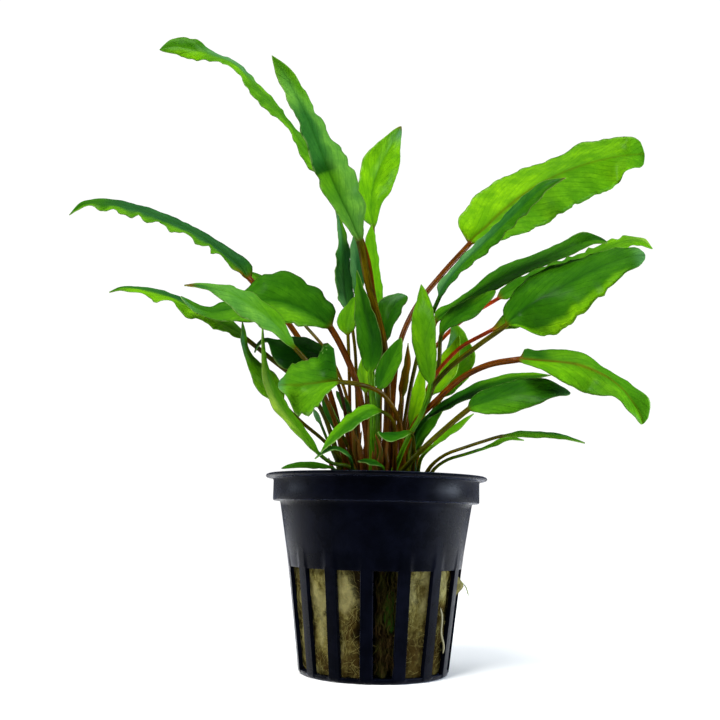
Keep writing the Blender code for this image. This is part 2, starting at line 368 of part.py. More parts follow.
def make_pot():
    profile = [
        (0, 0), (BASE_RADIUS - EDGE_ROUND, 0), (BASE_RADIUS, EDGE_ROUND), (SLOT_TOP_RADIUS, SLOT_TOP),
        (SHOULDER_RADIUS, COLLAR_BOTTOM), (COLLAR_RADIUS - EDGE_ROUND / 2, COLLAR_BOTTOM),
        (COLLAR_RADIUS, COLLAR_BOTTOM + EDGE_ROUND / 2), (COLLAR_RADIUS, POT_HEIGHT - 1.5),
        (RIM_RADIUS - EDGE_ROUND, POT_HEIGHT - 1.1), (RIM_RADIUS, POT_HEIGHT - EDGE_ROUND),
        (RIM_RADIUS - EDGE_ROUND, POT_HEIGHT), (COLLAR_RADIUS - WALL / 2, POT_HEIGHT - EDGE_ROUND / 3),
        (COLLAR_RADIUS - WALL, POT_HEIGHT - 1.4), (COLLAR_RADIUS - WALL, COLLAR_BOTTOM + WALL),
        (SHOULDER_RADIUS - WALL, COLLAR_BOTTOM + WALL), (SLOT_TOP_RADIUS - WALL, SLOT_TOP),
        (BASE_RADIUS - WALL, FLOOR), (0, FLOOR),
    ]
    pot = add_object("pot", spun(profile, 0, 360, POT_STEPS), "pot")
    within = BASE_RADIUS - 6 * WALL
    beyond = RIM_RADIUS
    slots = ring_of_blocks(FIRST_RIB_DEG + 180 / RIB_COUNT, (SLOT_BOTTOM, SLOT_TOP), lambda z: (
        (within, slot_half_width(within)), (beyond, slot_half_width(beyond))))
    cut = add_object("slot_cutters", slots, "pot", helper=True)
    faces = ring_of_blocks(FIRST_RIB_DEG, (EDGE_ROUND, RIB_TOP), lambda z: (
        (wall_radius(z) - WALL / 2, RIB_WIDTH / 2), (wall_radius(z) + RIB_PROUD, RIB_WIDTH / 2)))
    ribs = add_object("rib_faces", faces, "pot", helper=True)
    for name, operation, other in (("slots", "DIFFERENCE", cut), ("ribs", "UNION", ribs)):
        boolean = pot.modifiers.new(name, "BOOLEAN")
        boolean.operation = operation
        boolean.solver = "EXACT"
        boolean.object = other


def make_wool():
    first, last = WOOL_GAP_DEG
    inside = WALL + GAP
    profile = [
        (WOOL_INNER_RADIUS, WOOL_BOTTOM), (wall_radius(WOOL_BOTTOM) - inside, WOOL_BOTTOM),
        (wall_radius(SLOT_TOP) - inside, SLOT_TOP), (wall_radius(COLLAR_BOTTOM) - inside, COLLAR_BOTTOM),
        (wall_radius(COLLAR_BOTTOM) - inside - 0.6, WOOL_TOP), (WOOL_INNER_RADIUS, WOOL_TOP),
    ]
    add_object("wool", spun(profile, last, 360 - (last - first), WOOL_STEPS), "wool")


def make_root_ball():
    """The root mass fills the middle, with a lobe that reaches forward into the gap of the wool."""
    first, last = WOOL_GAP_DEG
    middle, spread = (first + last) / 2, (last - first) * 0.35
    plan = [(middle + turn, ROOT_FRONT_RADIUS) for turn in (-spread, 0, spread)]
    plan += [(middle + turn, ROOT_RADIUS) for turn in (spread, *range(24, 337, 26), -spread)]
    shape = bmesh.new()
    loops = [[shape.verts.new(around(turn, radius * scale, z)) for turn, radius in plan]
             for z, scale in ((WOOL_BOTTOM, 0.86), (SLOT_TOP, 1.0), (ROOT_TOP, 0.98))]
    shape.faces.new(loops[0])
    shape.faces.new(loops[-1])
    for lower, upper in zip(loops, loops[1:]):
        for i in range(len(plan)):
            shape.faces.new((lower[i - 1], lower[i], upper[i], upper[i - 1]))
    add_object("root_ball", shape, "root_ball")


def make_crown():
    profile = [(0, CROWN_BOTTOM), (CROWN_RADIUS, CROWN_BOTTOM), (CROWN_RADIUS - 0.5, CROWN_TOP - 0.4),
               (CROWN_RADIUS - 1.5, CROWN_TOP), (0, CROWN_TOP)]
    add_object("crown", spun(profile, 0, 360, 24), "crown")


def seen_at(x, z, depth):
    """The point at a depth that covers (x, z) on the plane of the pot's axis, as seen from EYE."""
    return EYE + (Vector((x, 0, z)) - EYE) * (1 - depth / EYE.y)


def curve_through(points, steps):
    """Reads a smooth curve through the points. steps run from 0 at the first to 1 at the last but one."""
    lengths = [0.0]
    for a, b in zip(points, points[1:-1]):
        lengths.append(lengths[-1] + math.dist(a, b))
    found = []
    for step in steps:
        at = step * lengths[-1]
        i = max(k for k in range(len(points) - 2) if lengths[k] <= at)
        t = (at - lengths[i]) / (lengths[i + 1] - lengths[i])
        span = points[max(i - 1, 0)], points[i], points[i + 1], points[i + 2]
        found.append([0.5 * (2 * b + (c - a) * t + (2 * a - 5 * b + 4 * c - d) * t ** 2
                             + (3 * b - a - 3 * c + d) * t ** 3) for a, b, c, d in zip(*span)])
    return found


def margins_of(row, k, shift):
    """Both margins of a blade section, each swung far or near to give the blade its true width."""
    x, z, depth, *shown = row["blade"][k]
    (x0, z0), (x1, z1) = row["blade"][k - 1][:2], row["blade"][k + 1][:2]
    along = Vector((x1 - x0, z1 - z0)).normalized()
    s = k / (len(row["blade"]) - 1)
    true_half = row["half"] * math.sin(math.pi * s ** 0.75) ** 0.8
    found = []
    for apparent, side, lean in zip(shown, (1, -1), row["tilt"]):
        back = math.sqrt(max(true_half ** 2 - apparent ** 2, 0))
        found.append(seen_at(x - side * along.y * apparent, z + side * along.x * apparent,
                             depth + shift + lean * back))
    return found


def spine_of(row, shift):
    """The leaf's line from foot to tip, and the number of points before the joint of petiole and blade."""
    foot_x, foot_y = row["foot"]
    scale = 1 - foot_y / EYE.y
    foot = ((foot_x - EYE.x) / scale + EYE.x, (FOOT_HEIGHT - EYE.z) / scale + EYE.z, foot_y)
    blade = [(x, z, depth + shift) for x, z, depth, *_ in row["blade"]]
    stalk = [foot] + [(x, z, depth + shift) for x, z, depth in row["petiole"]] + blade[:2]
    count = len(row["petiole"]) + 2
    return [seen_at(*p) for p in curve_through(stalk, [k / count for k in range(count)]) + blade], count


def petiole_ring(middle, across, up, radius):
    turns = [math.radians(degrees) for degrees in (150, 90, 30, -30, -90, -150)]
    return [middle + across * (radius * math.cos(turn)) + up * (radius * math.sin(turn)) for turn in turns]


def blade_ring(left, middle, right, across, up, keel, grow):
    """A blade's section: thin margins, a groove along the midrib's near side and a keel on its far side."""
    flat, wide = up * (BLADE_HALF_THICK + grow), grow + MARGIN_BEVEL
    return [left - across * wide + flat, middle + up * (GROOVE + grow), right + across * wide + flat,
            right + across * grow - flat, middle - up * (keel + grow), left - across * grow - flat]


def leaf_rings(row, shift=0.0, grow=0.0):
    """The leaf's sections of six points, then its tip and its foot. shift moves all but the foot in depth."""
    spine, joint = spine_of(row, shift)
    tangents = [(spine[k + 1] - spine[max(k - 1, 0)]).normalized() for k in range(len(spine) - 1)]
    radius = row["thick"] / 2

    def square_to(tangent, direction):
        across = (direction - tangent * direction.dot(tangent)).normalized()
        return across, across.cross(tangent).normalized()

    rings = []
    for k in range(joint + 1, len(spine) - 1):
        left, right = margins_of(row, k - joint, shift)
        across, up = square_to(tangents[k], right - left)
        keel = max(LEAST_KEEL, radius * (1 - (k - joint) / 6))
        rings.append(blade_ring(left, spine[k], right, across, up, keel, grow))
    across = rings[0][2] - rings[0][0]
    for k in range(joint, -1, -1):
        across, up = square_to(tangents[k], across)
        rings.insert(0, petiole_ring(spine[k], across, up, radius + grow))
    return rings, spine[-1] + tangents[-1] * grow, spine[0] - tangents[0] * (grow + MARGIN_BEVEL)


def leaf_mesh(rings, tip, foot):
    """A closed bmesh through the rings, with a point at the tip and a small cap at the foot."""
    shape = bmesh.new()
    loops = [[shape.verts.new(p) for p in ring] for ring in rings]
    foot_vert, tip_vert = shape.verts.new(foot), shape.verts.new(tip)
    for lower, upper in zip(loops, loops[1:]):
        for i in range(len(lower)):
            j = (i + 1) % len(lower)
            shape.faces.new((lower[i], lower[j], upper[j], upper[i]))
    for i in range(len(loops[0])):
        j = (i + 1) % len(loops[0])
        shape.faces.new((loops[0][j], loops[0][i], foot_vert))
        shape.faces.new((loops[-1][i], loops[-1][j], tip_vert))
    return shape


def tree_of(shape):
    bmesh.ops.triangulate(shape, faces=shape.faces)
    tree = BVHTree.FromBMesh(shape)
    shape.free()
    return tree


def settled(row, placed):
    """Swings a leaf nearer or farther until it clears those placed. Returns how far, and its tree."""
    for index in range(SETTLE_TRIES):
        shift = SETTLE_STEP * ((index + 1) // 2) * (1 if index % 2 else -1)
        tree = tree_of(leaf_mesh(*leaf_rings(row, shift, CLEARANCE)))
        if not any(tree.overlap(other) for other in placed):
            return shift, tree
    raise ValueError(row["name"] + " finds no room")


def make_leaves():
    placed = []
    for row in LEAVES:
        shift, tree = settled(row, placed)
        placed.append(tree)
        add_object(row["name"], leaf_mesh(*leaf_rings(row, shift)), "leaf")


def main():
    for old in list(bpy.data.objects):
        bpy.data.objects.remove(old)
    make_pot()
    make_wool()
    make_root_ball()
    make_crown()
    make_leaves()


main()
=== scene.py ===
import math
import random

import bmesh
import bpy
from mathutils import Matrix, Vector, noise


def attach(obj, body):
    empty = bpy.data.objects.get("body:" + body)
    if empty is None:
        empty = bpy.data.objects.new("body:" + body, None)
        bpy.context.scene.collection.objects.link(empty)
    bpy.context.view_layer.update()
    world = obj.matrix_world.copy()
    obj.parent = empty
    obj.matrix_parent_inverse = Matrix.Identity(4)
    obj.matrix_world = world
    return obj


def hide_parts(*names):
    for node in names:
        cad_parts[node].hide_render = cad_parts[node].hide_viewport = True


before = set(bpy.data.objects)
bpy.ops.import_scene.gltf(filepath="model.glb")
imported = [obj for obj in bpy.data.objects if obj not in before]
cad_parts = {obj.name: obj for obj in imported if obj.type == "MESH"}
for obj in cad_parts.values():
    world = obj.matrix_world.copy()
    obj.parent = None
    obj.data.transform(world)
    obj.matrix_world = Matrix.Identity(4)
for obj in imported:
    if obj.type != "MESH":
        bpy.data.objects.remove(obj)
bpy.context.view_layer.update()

# The view: a camera a little lower than the pot's rim, tilted up at the leaves and rolled by about a degree,
# as the plant was looked at. The pot's axis is Z and its front is -Y.
EYE = Vector((-0.00475, -0.240, 0.0371))
TILT_DEG, ROLL_DEG = 9.63, 1.15
camera_data = bpy.data.cameras.new("camera")
camera_data.sensor_width = 36
camera_data.lens = 46.85
camera = bpy.data.objects.new("camera", camera_data)
camera.matrix_world = (Matrix.Translation(EYE) @ Matrix.Rotation(math.radians(90 + TILT_DEG), 4, "X")
                       @ Matrix.Rotation(math.radians(ROLL_DEG), 4, "Z"))
bpy.context.scene.collection.objects.link(camera)
bpy.context.scene.camera = camera
bpy.context.scene.view_settings.view_transform = "Standard"


# The floor: one pale round sheet of matt paper that the pot stands on, wide enough for its shadow. It is
# a stage, and no part of the plant.
FLOOR_RADIUS = 0.36


def link(name, data):
    """A new object at the origin, in the scene."""
    made = bpy.data.objects.new(name, data)
    bpy.context.scene.collection.objects.link(made)
    return made


def principled(name, colour, roughness, others=None):
    """A material with a Principled shader. others gives more of the shader's inputs their values, by name."""
    made = bpy.data.materials.new(name)
    made.use_nodes = True
    shader = made.node_tree.nodes["Principled BSDF"]
    for label, value in {"Base Color": (*colour, 1), "Roughness": roughness, **(others or {})}.items():
        shader.inputs[label].default_value = value
    return made


def finished(name, shape, material, smooth_below=180):
    """The bmesh as an object: its seams merged, its faces outward, and sharp only at edges past the angle."""
    bmesh.ops.remove_doubles(shape, verts=shape.verts, dist=1e-7)
    if not any(edge.is_boundary for edge in shape.edges):
        bmesh.ops.recalc_face_normals(shape, faces=shape.faces)
        if shape.calc_volume(signed=True) < 0:
            bmesh.ops.reverse_faces(shape, faces=shape.faces)
    data = bpy.data.meshes.new(name)
    shape.to_mesh(data)
    shape.free()
    data.shade_smooth()
    if smooth_below < 180:
        data.set_sharp_from_angle(angle=math.radians(smooth_below))
    data.materials.append(material)
    return link(name, data)


sheet = bmesh.new()
bmesh.ops.create_circle(sheet, cap_ends=True, segments=96, radius=FLOOR_RADIUS)
finished("floor", sheet, principled("paper", (0.93, 0.93, 0.92), 0.9))

# The light: a room that is bright to both sides and dark in front and behind, so that the pot mirrors it at
# its flanks, a soft box high in front, a wide one overhead and a low one at each side. The camera sees the
# room as plain white.
ROOM_DARK, ROOM_BRIGHT, SEEN_WHITE = 0.05, 0.5, 1.06


def add(tree, kind, links=None, **settings):
    """A node in the tree. links gives its inputs values, or other nodes' sockets."""
    node = tree.nodes.new("ShaderNode" + kind)
    for name, value in settings.items():
        setattr(node, name, value)
    for name, value in (links or {}).items():
        if isinstance(value, bpy.types.NodeSocket):
            tree.links.new(value, node.inputs[name])
        else:
            node.inputs[name].default_value = value
    return node


def ranged(tree, value, low, high, to_low=0.0, to_high=1.0, kind="LINEAR"):
    """A value spread from one range over another, and held inside it."""
    return add(tree, "MapRange", {"Value": value, "From Min": low, "From Max": high, "To Min": to_low,
                                  "To Max": to_high}, interpolation_type=kind).outputs[0]


def mixed(tree, factor, a, b, how="MIX"):
    """Two colours mixed by a factor."""
    return add(tree, "Mix", {0: factor, 6: a, 7: b}, data_type="RGBA", blend_type=how).outputs[2]


world = bpy.data.worlds.new("room")
bpy.context.scene.world = world
world.use_nodes = True
room = world.node_tree
heading = add(room, "SeparateXYZ", {0: add(room, "TexCoord").outputs["Generated"]}).outputs["X"]
sideways = add(room, "Math", {0: heading}, operation="ABSOLUTE").outputs[0]
walls = ranged(room, sideways, 0.2, 0.85, ROOM_DARK, ROOM_BRIGHT)
eye = add(room, "LightPath").outputs["Is Camera Ray"]
shell = room.nodes["Background"].inputs
room.links.new(ranged(room, eye, 0, 1, walls, SEEN_WHITE), shell["Strength"])
room.links.new(mixed(room, eye, (0.92, 0.95, 1.04, 1), (1, 1, 1, 1)), shell["Color"])
for name, place, aim, size, power, colour in (
        ("key_light", (-0.26, -0.40, 0.62), (0, 0, 0.09), (0.32, 0.28), 8.9, (1, 0.99, 0.97)),
        ("top_light", (0, 0.1, 0.8), (0, 0, 0.08), (0.9, 0.9), 4.7, (1, 0.99, 0.97)),
        ("left_light", (-0.46, 0.04, 0.09), (0, 0, 0.05), (0.22, 0.16), 0.6, (0.75, 0.85, 1)),
        ("right_light", (0.44, -0.06, 0.09), (0, 0, 0.05), (0.22, 0.16), 3.6, (0.75, 0.85, 1))):
    lamp = bpy.data.lights.new(name, "AREA")
    lamp.shape = "RECTANGLE"
    lamp.size, lamp.size_y = size
    lamp.energy, lamp.color = power, colour
    light = link(name, lamp)
    light.location = place
    light.rotation_euler = (Vector(aim) - Vector(place)).to_track_quat("-Z", "Y").to_euler()


# The pot: injection-moulded blue-black plastic, thin walled, with a rolled rim over a straight collar and
# fifteen ribs between tall slots. The ribs stand a little proud and run on above the slots.
MM = 0.001
POT_HEIGHT, RIM_RADIUS, COLLAR_RADIUS, COLLAR_BOTTOM = 48.0, 28.0, 26.0, 41.3
SHOULDER_RADIUS, SLOT_TOP_RADIUS, BASE_RADIUS = 24.2, 21.5, 18.3
SLOT_TOP, SLOT_BOTTOM, RIB_TOP, RIB_BOTTOM, RIB_FADE = 25.4, 1.15, 32.0, 0.6, 4
WALL, FLOOR, RIB_HALF, RIB_PROUD, RIBS, FIRST_RIB_DEG = 0.8, 0.85, 1.475, 0.13, 15, -6.1
SLOT_EDGE_ROUND = 0.14
SECTOR_STEPS, RIB_COLUMNS = 12, (0, 1, 2, 10, 11)


def wall_radius(z):
    """The pot's outer radius at a height below the collar."""
    if z <= SLOT_TOP:
        return BASE_RADIUS + (SLOT_TOP_RADIUS - BASE_RADIUS) * z / SLOT_TOP
    return SLOT_TOP_RADIUS + (SHOULDER_RADIUS - SLOT_TOP_RADIUS) * (z - SLOT_TOP) / (COLLAR_BOTTOM - SLOT_TOP)


def at_angle(degrees, radius, z):
    """A point in millimetres at an angle from the pot's front, positive to the right."""
    turn = math.radians(degrees)
    return Vector((radius * math.sin(turn), -radius * math.cos(turn), z))


def sector_angle(step, radius):
    """How far a column of the mesh stands from its rib's middle, so that the ribs keep an even width."""
    edge = math.degrees(math.asin(min(RIB_HALF / max(radius, 6), 1)))
    side, count = (1, step) if step <= SECTOR_STEPS // 2 else (-1, SECTOR_STEPS - step)
    if count <= 3:
        return side * edge * (0, 0.5, 0.9, 1)[count]
    return side * (edge + (180 / RIBS - edge) * (count - 3) / 3)


slot_rows = [SLOT_BOTTOM + (SLOT_TOP - SLOT_BOTTOM) * k / 12 for k in range(13)]
outside = [(0, 0), (9, 0)]
outside += [(BASE_RADIUS + out, z) for out, z in ((-1.1, 0), (-0.5, 0.05), (-0.15, 0.25), (0.03, 0.6))]
outside += [(wall_radius(z), z) for z in slot_rows]
outside += [(wall_radius(z), z) for z in (26.2, 28, 30, RIB_TOP - 0.25, RIB_TOP, 34, 37, 40, 41.0)]
outside += [(COLLAR_RADIUS + out, COLLAR_BOTTOM + up) for out, up in (
    (-1.65, -0.1), (-1.3, 0), (-0.4, 0), (-0.12, 0.12), (0, 0.4), (0, 2.7), (0, 5))]
outside += [(RIM_RADIUS + out, POT_HEIGHT + up) for out, up in (
    (-1.85, -1.3), (-1.4, -1.1), (-0.7, -1.08), (-0.25, -0.95), (0, -0.6), (-0.2, -0.2), (-0.7, 0))]
inside = [(RIM_RADIUS + out, POT_HEIGHT + up) for out, up in (
    (-1.6, -0.03), (-2.3, -0.25), (-2.7, -0.8), (-2.8, -1.6))]
inside += [(COLLAR_RADIUS - WALL + out, COLLAR_BOTTOM + up)
           for out, up in ((0, 2.7), (-0.05, 1.1), (-0.6, 0.8))]
inside += [(SHOULDER_RADIUS - 0.7, COLLAR_BOTTOM + 0.3)]
inside += [(wall_radius(z) - WALL, z) for z in (37, 32)]
inside += [(wall_radius(z) - WALL, z) for z in reversed(slot_rows)]
inside += [(wall_radius(FLOOR) - WALL - 0.3, FLOOR), (9, FLOOR), (0, FLOOR)]

pot_shape = bmesh.new()
chain = [pot_shape.verts.new(at_angle(FIRST_RIB_DEG, radius, z)) for radius, z in outside + inside]
edges = [pot_shape.edges.new(pair) for pair in zip(chain, chain[1:])]
bmesh.ops.spin(pot_shape, geom=chain + edges, axis=(0, 0, 1), cent=(0, 0, 0), steps=RIBS * SECTOR_STEPS,
               angle=math.tau, use_merge=True)
bmesh.ops.remove_doubles(pot_shape, verts=pot_shape.verts, dist=1e-4)
column = pot_shape.verts.layers.int.new("column")
for vert in pot_shape.verts:
    radius = vert.co.xy.length
    if radius < 1:
        continue
    turned = math.degrees(math.atan2(vert.co.x, -vert.co.y)) - FIRST_RIB_DEG
    steps = round(turned / (360 / RIBS / SECTOR_STEPS)) % (RIBS * SECTOR_STEPS)
    rib, step = divmod(steps, SECTOR_STEPS)
    if step > SECTOR_STEPS // 2:
        rib += 1
    on_rib = step in RIB_COLUMNS and vert.co.z > RIB_BOTTOM and radius > wall_radius(vert.co.z) - 0.1
    proud = on_rib * RIB_PROUD * min(max((RIB_TOP - 2 - vert.co.z) / RIB_FADE, 0), 1)
    degrees = FIRST_RIB_DEG + rib * 360 / RIBS + sector_angle(step, radius)
    vert.co = at_angle(degrees, radius + proud, vert.co.z)
    vert[column] = step
slot_faces = [face for face in pot_shape.faces
              if all(SLOT_BOTTOM - 0.01 < v.co.z < SLOT_TOP + 0.01 and 3 <= v[column] <= 9
                     for v in face.verts)
              and max(v.co.z for v in face.verts) - min(v.co.z for v in face.verts) > 0.5]
bmesh.ops.delete(pot_shape, geom=slot_faces, context="FACES")
open_edges = [edge for edge in pot_shape.edges if edge.is_boundary]
for rib in range(RIBS):
    middle = at_angle(FIRST_RIB_DEG + (rib + 0.5) * 360 / RIBS, 1, 0)
    ring = [e for e in open_edges
            if (e.verts[0].co + e.verts[1].co).xy.normalized().dot(middle.xy) > math.cos(math.radians(12))]
    bmesh.ops.bridge_loops(pot_shape, edges=ring)
bmesh.ops.recalc_face_normals(pot_shape, faces=pot_shape.faces)
slot_edges = [e for e in open_edges
              if e.is_valid and all(v.co.xy.length > wall_radius(v.co.z) - 0.2 for v in e.verts)]
bmesh.ops.bevel(pot_shape, geom=slot_edges, offset=SLOT_EDGE_ROUND, segments=2, profile=0.5, affect="EDGES",
                material=-1)
bmesh.ops.scale(pot_shape, vec=(MM, MM, MM), verts=pot_shape.verts)


def node_group(name, inputs, outputs):
    """An empty shader group with named inputs, as (name, kind, value), and outputs, as (name, kind)."""
    group = bpy.data.node_groups.new(name, "ShaderNodeTree")
    for label, kind, value in inputs:
        socket = group.interface.new_socket(label, in_out="INPUT", socket_type="NodeSocket" + kind)
        socket.default_value = value
    for label, kind in outputs:
        group.interface.new_socket(label, in_out="OUTPUT", socket_type="NodeSocket" + kind)
    return group, group.nodes.new("NodeGroupInput"), group.nodes.new("NodeGroupOutput")


def bumped(tree, height, strength, depth, **below):
    """A normal from a height, which stands for depth metres. below may give a coarser bump's Normal."""
    return add(tree, "Bump", {"Height": height, "Strength": strength, "Distance": depth, **below}).outputs[0]


def joined(material, sockets):
    """Joins nodes' outputs to the inputs of the material's shader, by the inputs' names."""
    for label, socket in sockets.items():
        material.node_tree.links.new(socket, material.node_tree.nodes["Principled BSDF"].inputs[label])


# Fine moulded grain and mottling, which the plastic, the wool and the leaves all use at their own scale.
mottle, given, shown = node_group("mottle", [
    ("Vector", "Vector", (0, 0, 0)), ("Scale", "Float", 500), ("Detail", "Float", 4), ("Low", "Float", 0.35),
    ("High", "Float", 0.65)], [("Mask", "Float"), ("Height", "Float")])
speck = add(mottle, "TexNoise", {"Vector": given.outputs["Vector"], "Scale": given.outputs["Scale"],
                                 "Detail": given.outputs["Detail"], "Roughness": 0.6})
spread = ranged(mottle, speck.outputs[0], given.outputs["Low"], given.outputs["High"], kind="SMOOTHSTEP")
mottle.links.new(spread, shown.inputs["Mask"])
mottle.links.new(speck.outputs[0], shown.inputs["Height"])


def mottled(tree, vector, scale, low=0.35, high=0.65, detail=4):
    """The mottle group in a material, at a scale of so many spots a metre."""
    node = tree.nodes.new("ShaderNodeGroup")
    node.node_tree = mottle
    tree.links.new(vector, node.inputs["Vector"])
    for name, value in (("Scale", scale), ("Low", low), ("High", high), ("Detail", detail)):
        node.inputs[name].default_value = value
    return node.outputs


plastic = principled("pot_plastic", (0.012, 0.014, 0.024), 0.34, {
    "Specular Tint": (0.03, 0.035, 0.05, 1), "Specular IOR Level": 0.09, "Sheen Weight": 0.05,
    "Sheen Roughness": 0.35, "Sheen Tint": (0.4, 0.52, 1, 1)})
tree = plastic.node_tree
where = add(tree, "TexCoord").outputs["Object"]
grain = mottled(tree, where, 2600, 0.3, 0.7)
bloom = mottled(tree, where, 160, 0.35, 0.75, 6)
joined(plastic, {
    "Base Color": mixed(tree, bloom["Mask"], (0.0006, 0.0008, 0.0018, 1), (0.0016, 0.0020, 0.0050, 1)),
    "Roughness": ranged(tree, bloom["Mask"], 0, 1, 0.24, 0.38),
    "Normal": bumped(tree, grain["Height"], 0.25, 0.12 * MM)})
pot = finished("pot_shell", pot_shape, plastic, 40)
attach(pot, "root")
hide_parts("pot")


# The rockwool: a yellow-olive mat of mineral fibre wrapped round the roots. It fills the pot and bulges a
# little in the slots, and its two ends don't quite meet at the front.
WOOL_TOP, WOOL_BOTTOM, WOOL_INNER_RADIUS, WOOL_GAP = 44.4, 1.25, 11.0, 0.4
WOOL_FIRST_DEG, WOOL_LAST_DEG, WOOL_ROW, WOOL_ROWS = 15.5, 356.5, 0.5, 82
MOST_BULGE, TUFT, TUFT_DEG, TUFT_UP, TORN_DEPTH = 0.34, 2.1, 79, 21.6, 2.6
FIBRES, TOP_FIBRES = 1300, 260
MATT = {"Specular IOR Level": 0}
# The edge of the torn hollow as (height, degrees), and the dark and pale patches as (degrees, height, size,
# depth).
TORN_EDGE_DEG = ((1, -10), (6, -12), (8.5, -11), (10.5, -17), (12, -14), (15, -11.5), (18, -12.5), (22, -17),
                 (26, -20), (30, -20))
WOOL_BLOTCHES = ((-42, 1, 4, -0.8), (-15, 11, 4, -0.9), (-21, 3, 4, -0.6), (30, 3, 6, -1), (24, 13, 3, -0.5),
               (52, 15.5, 2.5, -0.9), (56, 4, 5, -0.7), (52, 22.5, 4, 0.9), (-42, 16, 8, 0.5),
               (-25, 22, 4, 0.8), (31, 17, 3, 0.6), (-66, 12, 5, 0.4), (80, 22, 3, 0.5), (120, 8, 9, -0.7),
               (165, 15, 8, 0.5), (-110, 6, 8, -0.7), (-150, 16, 9, 0.5), (-170, 4, 6, -0.6))


def rolled(shape, round_steps, long_steps, place):
    """Adds a grid rolled into a closed tube. place(turn, way) gives each point, both running from 0 to 1."""
    made = bmesh.ops.create_grid(shape, x_segments=round_steps, y_segments=long_steps, size=0.5)["verts"]
    for vert in made:
        vert.co = place(vert.co.x + 0.5, vert.co.y + 0.5)


def smooth_read(values, places, at):
    """Reads a smooth curve through values that stand at rising places."""
    last = len(places) - 1
    k = 0
    while k < last - 1 and places[k + 1] <= at:
        k += 1
    gap = places[k + 1] - places[k]
    t = min(max((at - places[k]) / gap, 0), 1)

    def slope(i):
        a, b = max(i - 1, 0), min(i + 1, last)
        return (values[b] - values[a]) * (gap / (places[b] - places[a]))

    return (values[k] * (2 * t ** 3 - 3 * t ** 2 + 1) + values[k + 1] * (3 * t ** 2 - 2 * t ** 3)
            + slope(k) * (t ** 3 - 2 * t ** 2 + t) + slope(k + 1) * (t ** 3 - t ** 2))


def strand(shape, points, radius, sides=5, steps=8, point=6):
    """Adds a thin tube along the points, which narrows at its start and over its last 1/point."""
    places = [k / (len(points) - 1) for k in range(len(points))]

    def put(turn, way):
        spine = smooth_read(points, places, way)
        onward = (smooth_read(points, places, min(way + 0.02, 1))
                  - smooth_read(points, places, max(way - 0.02, 0)))
        side = onward.orthogonal().normalized()
        other = onward.normalized().cross(side)
        width = radius * min(1, 6 * way, point * (1 - way)) ** 0.5
        angle = math.tau * turn
        return spine + (side * math.cos(angle) + other * math.sin(angle)) * width

    rolled(shape, sides, steps, put)


wool_shape = bmesh.new()
wool_profile = [(WOOL_INNER_RADIUS, WOOL_BOTTOM), (15, WOOL_BOTTOM)]
wool_profile += [(wall_radius(z) - WALL - WOOL_GAP, z)
                 for z in [WOOL_BOTTOM + WOOL_ROW * k for k in range(WOOL_ROWS)]]
wool_profile += [(22.4, 43.2), (22, 44), (21.2, WOOL_TOP), (18, WOOL_TOP), (15, WOOL_TOP), (13, WOOL_TOP)]
wool_profile += [(WOOL_INNER_RADIUS, WOOL_TOP), (WOOL_INNER_RADIUS, 30), (WOOL_INNER_RADIUS, 15)]
chain = [wool_shape.verts.new(at_angle(WOOL_FIRST_DEG, radius, z)) for radius, z in wool_profile]
edges = [wool_shape.edges.new(pair) for pair in zip(chain, chain[1:] + chain[:1])]
cap = wool_shape.faces.new(chain)
bmesh.ops.spin(wool_shape, geom=chain + edges + [cap], axis=(0, 0, 1), cent=(0, 0, 0), steps=220,
               angle=math.radians(WOOL_LAST_DEG - WOOL_FIRST_DEG), use_merge=False)
bmesh.ops.remove_doubles(wool_shape, verts=wool_shape.verts, dist=1e-4)
bmesh.ops.triangulate(wool_shape, faces=[f for f in wool_shape.faces if len(f.verts) > 4])
sunk, blotch = [wool_shape.verts.layers.float.new(name) for name in ("sunk", "blotch")]
for vert in wool_shape.verts:
    spot = vert.co.copy()
    degrees = math.degrees(math.atan2(spot.x, -spot.y))
    flow = Vector((spot.x * 0.9, spot.y * 0.9, spot.z * 0.45))
    rise = (0.8 * noise.noise(flow * 0.28) + 0.42 * noise.noise(flow * 0.8) + 0.2 * noise.noise(spot * 2.0)
            - 0.1)
    out = Vector((spot.x, spot.y, 0)).normalized()
    lower, upper = [(p, q) for p, q in zip(TORN_EDGE_DEG, TORN_EDGE_DEG[1:]) if p[0] <= min(spot.z, 29)][-1]
    edge = lower[1] + (upper[1] - lower[1]) * min(max((spot.z - lower[0]) / (upper[0] - lower[0]), 0), 1)
    edge += 1.6 * noise.noise(Vector((0, 3, spot.z * 1.3)))
    # How far the wool is torn back here. The same amount colours the hollow dark as painted shade.
    torn_and_shaded = min(max((degrees - edge) / 1.4, 0), 1) if -40 < degrees < 0 and spot.z < 30 else 0
    vert[sunk] = torn_and_shaded
    vert[blotch] = 1.1 * noise.noise(flow * 0.4) + 0.8 * noise.noise(flow * 1.1) + sum(
        depth * math.exp(-((((degrees - at + 180) % 360 - 180) * 0.36) ** 2 + (spot.z - up) ** 2) / size ** 2)
        for at, up, size, depth in WOOL_BLOTCHES)
    if spot.z > WOOL_TOP - 0.6:
        vert.co += Vector((0, 0, 1)) * (rise * 0.8 - 0.1)
    elif spot.xy.length > WOOL_INNER_RADIUS + 1:
        tuft = TUFT * math.exp(-((degrees - TUFT_DEG) / 3.6) ** 2 - ((spot.z - TUFT_UP) / 2.2) ** 2)
        lip = 0.25 * math.exp(-((degrees - edge + 1.5) / 2.5) ** 2) if spot.z < 30 else 0
        vert.co += out * (min(rise + lip, MOST_BULGE) + tuft - TORN_DEPTH * torn_and_shaded)
bmesh.ops.scale(wool_shape, vec=(MM, MM, MM), verts=wool_shape.verts)

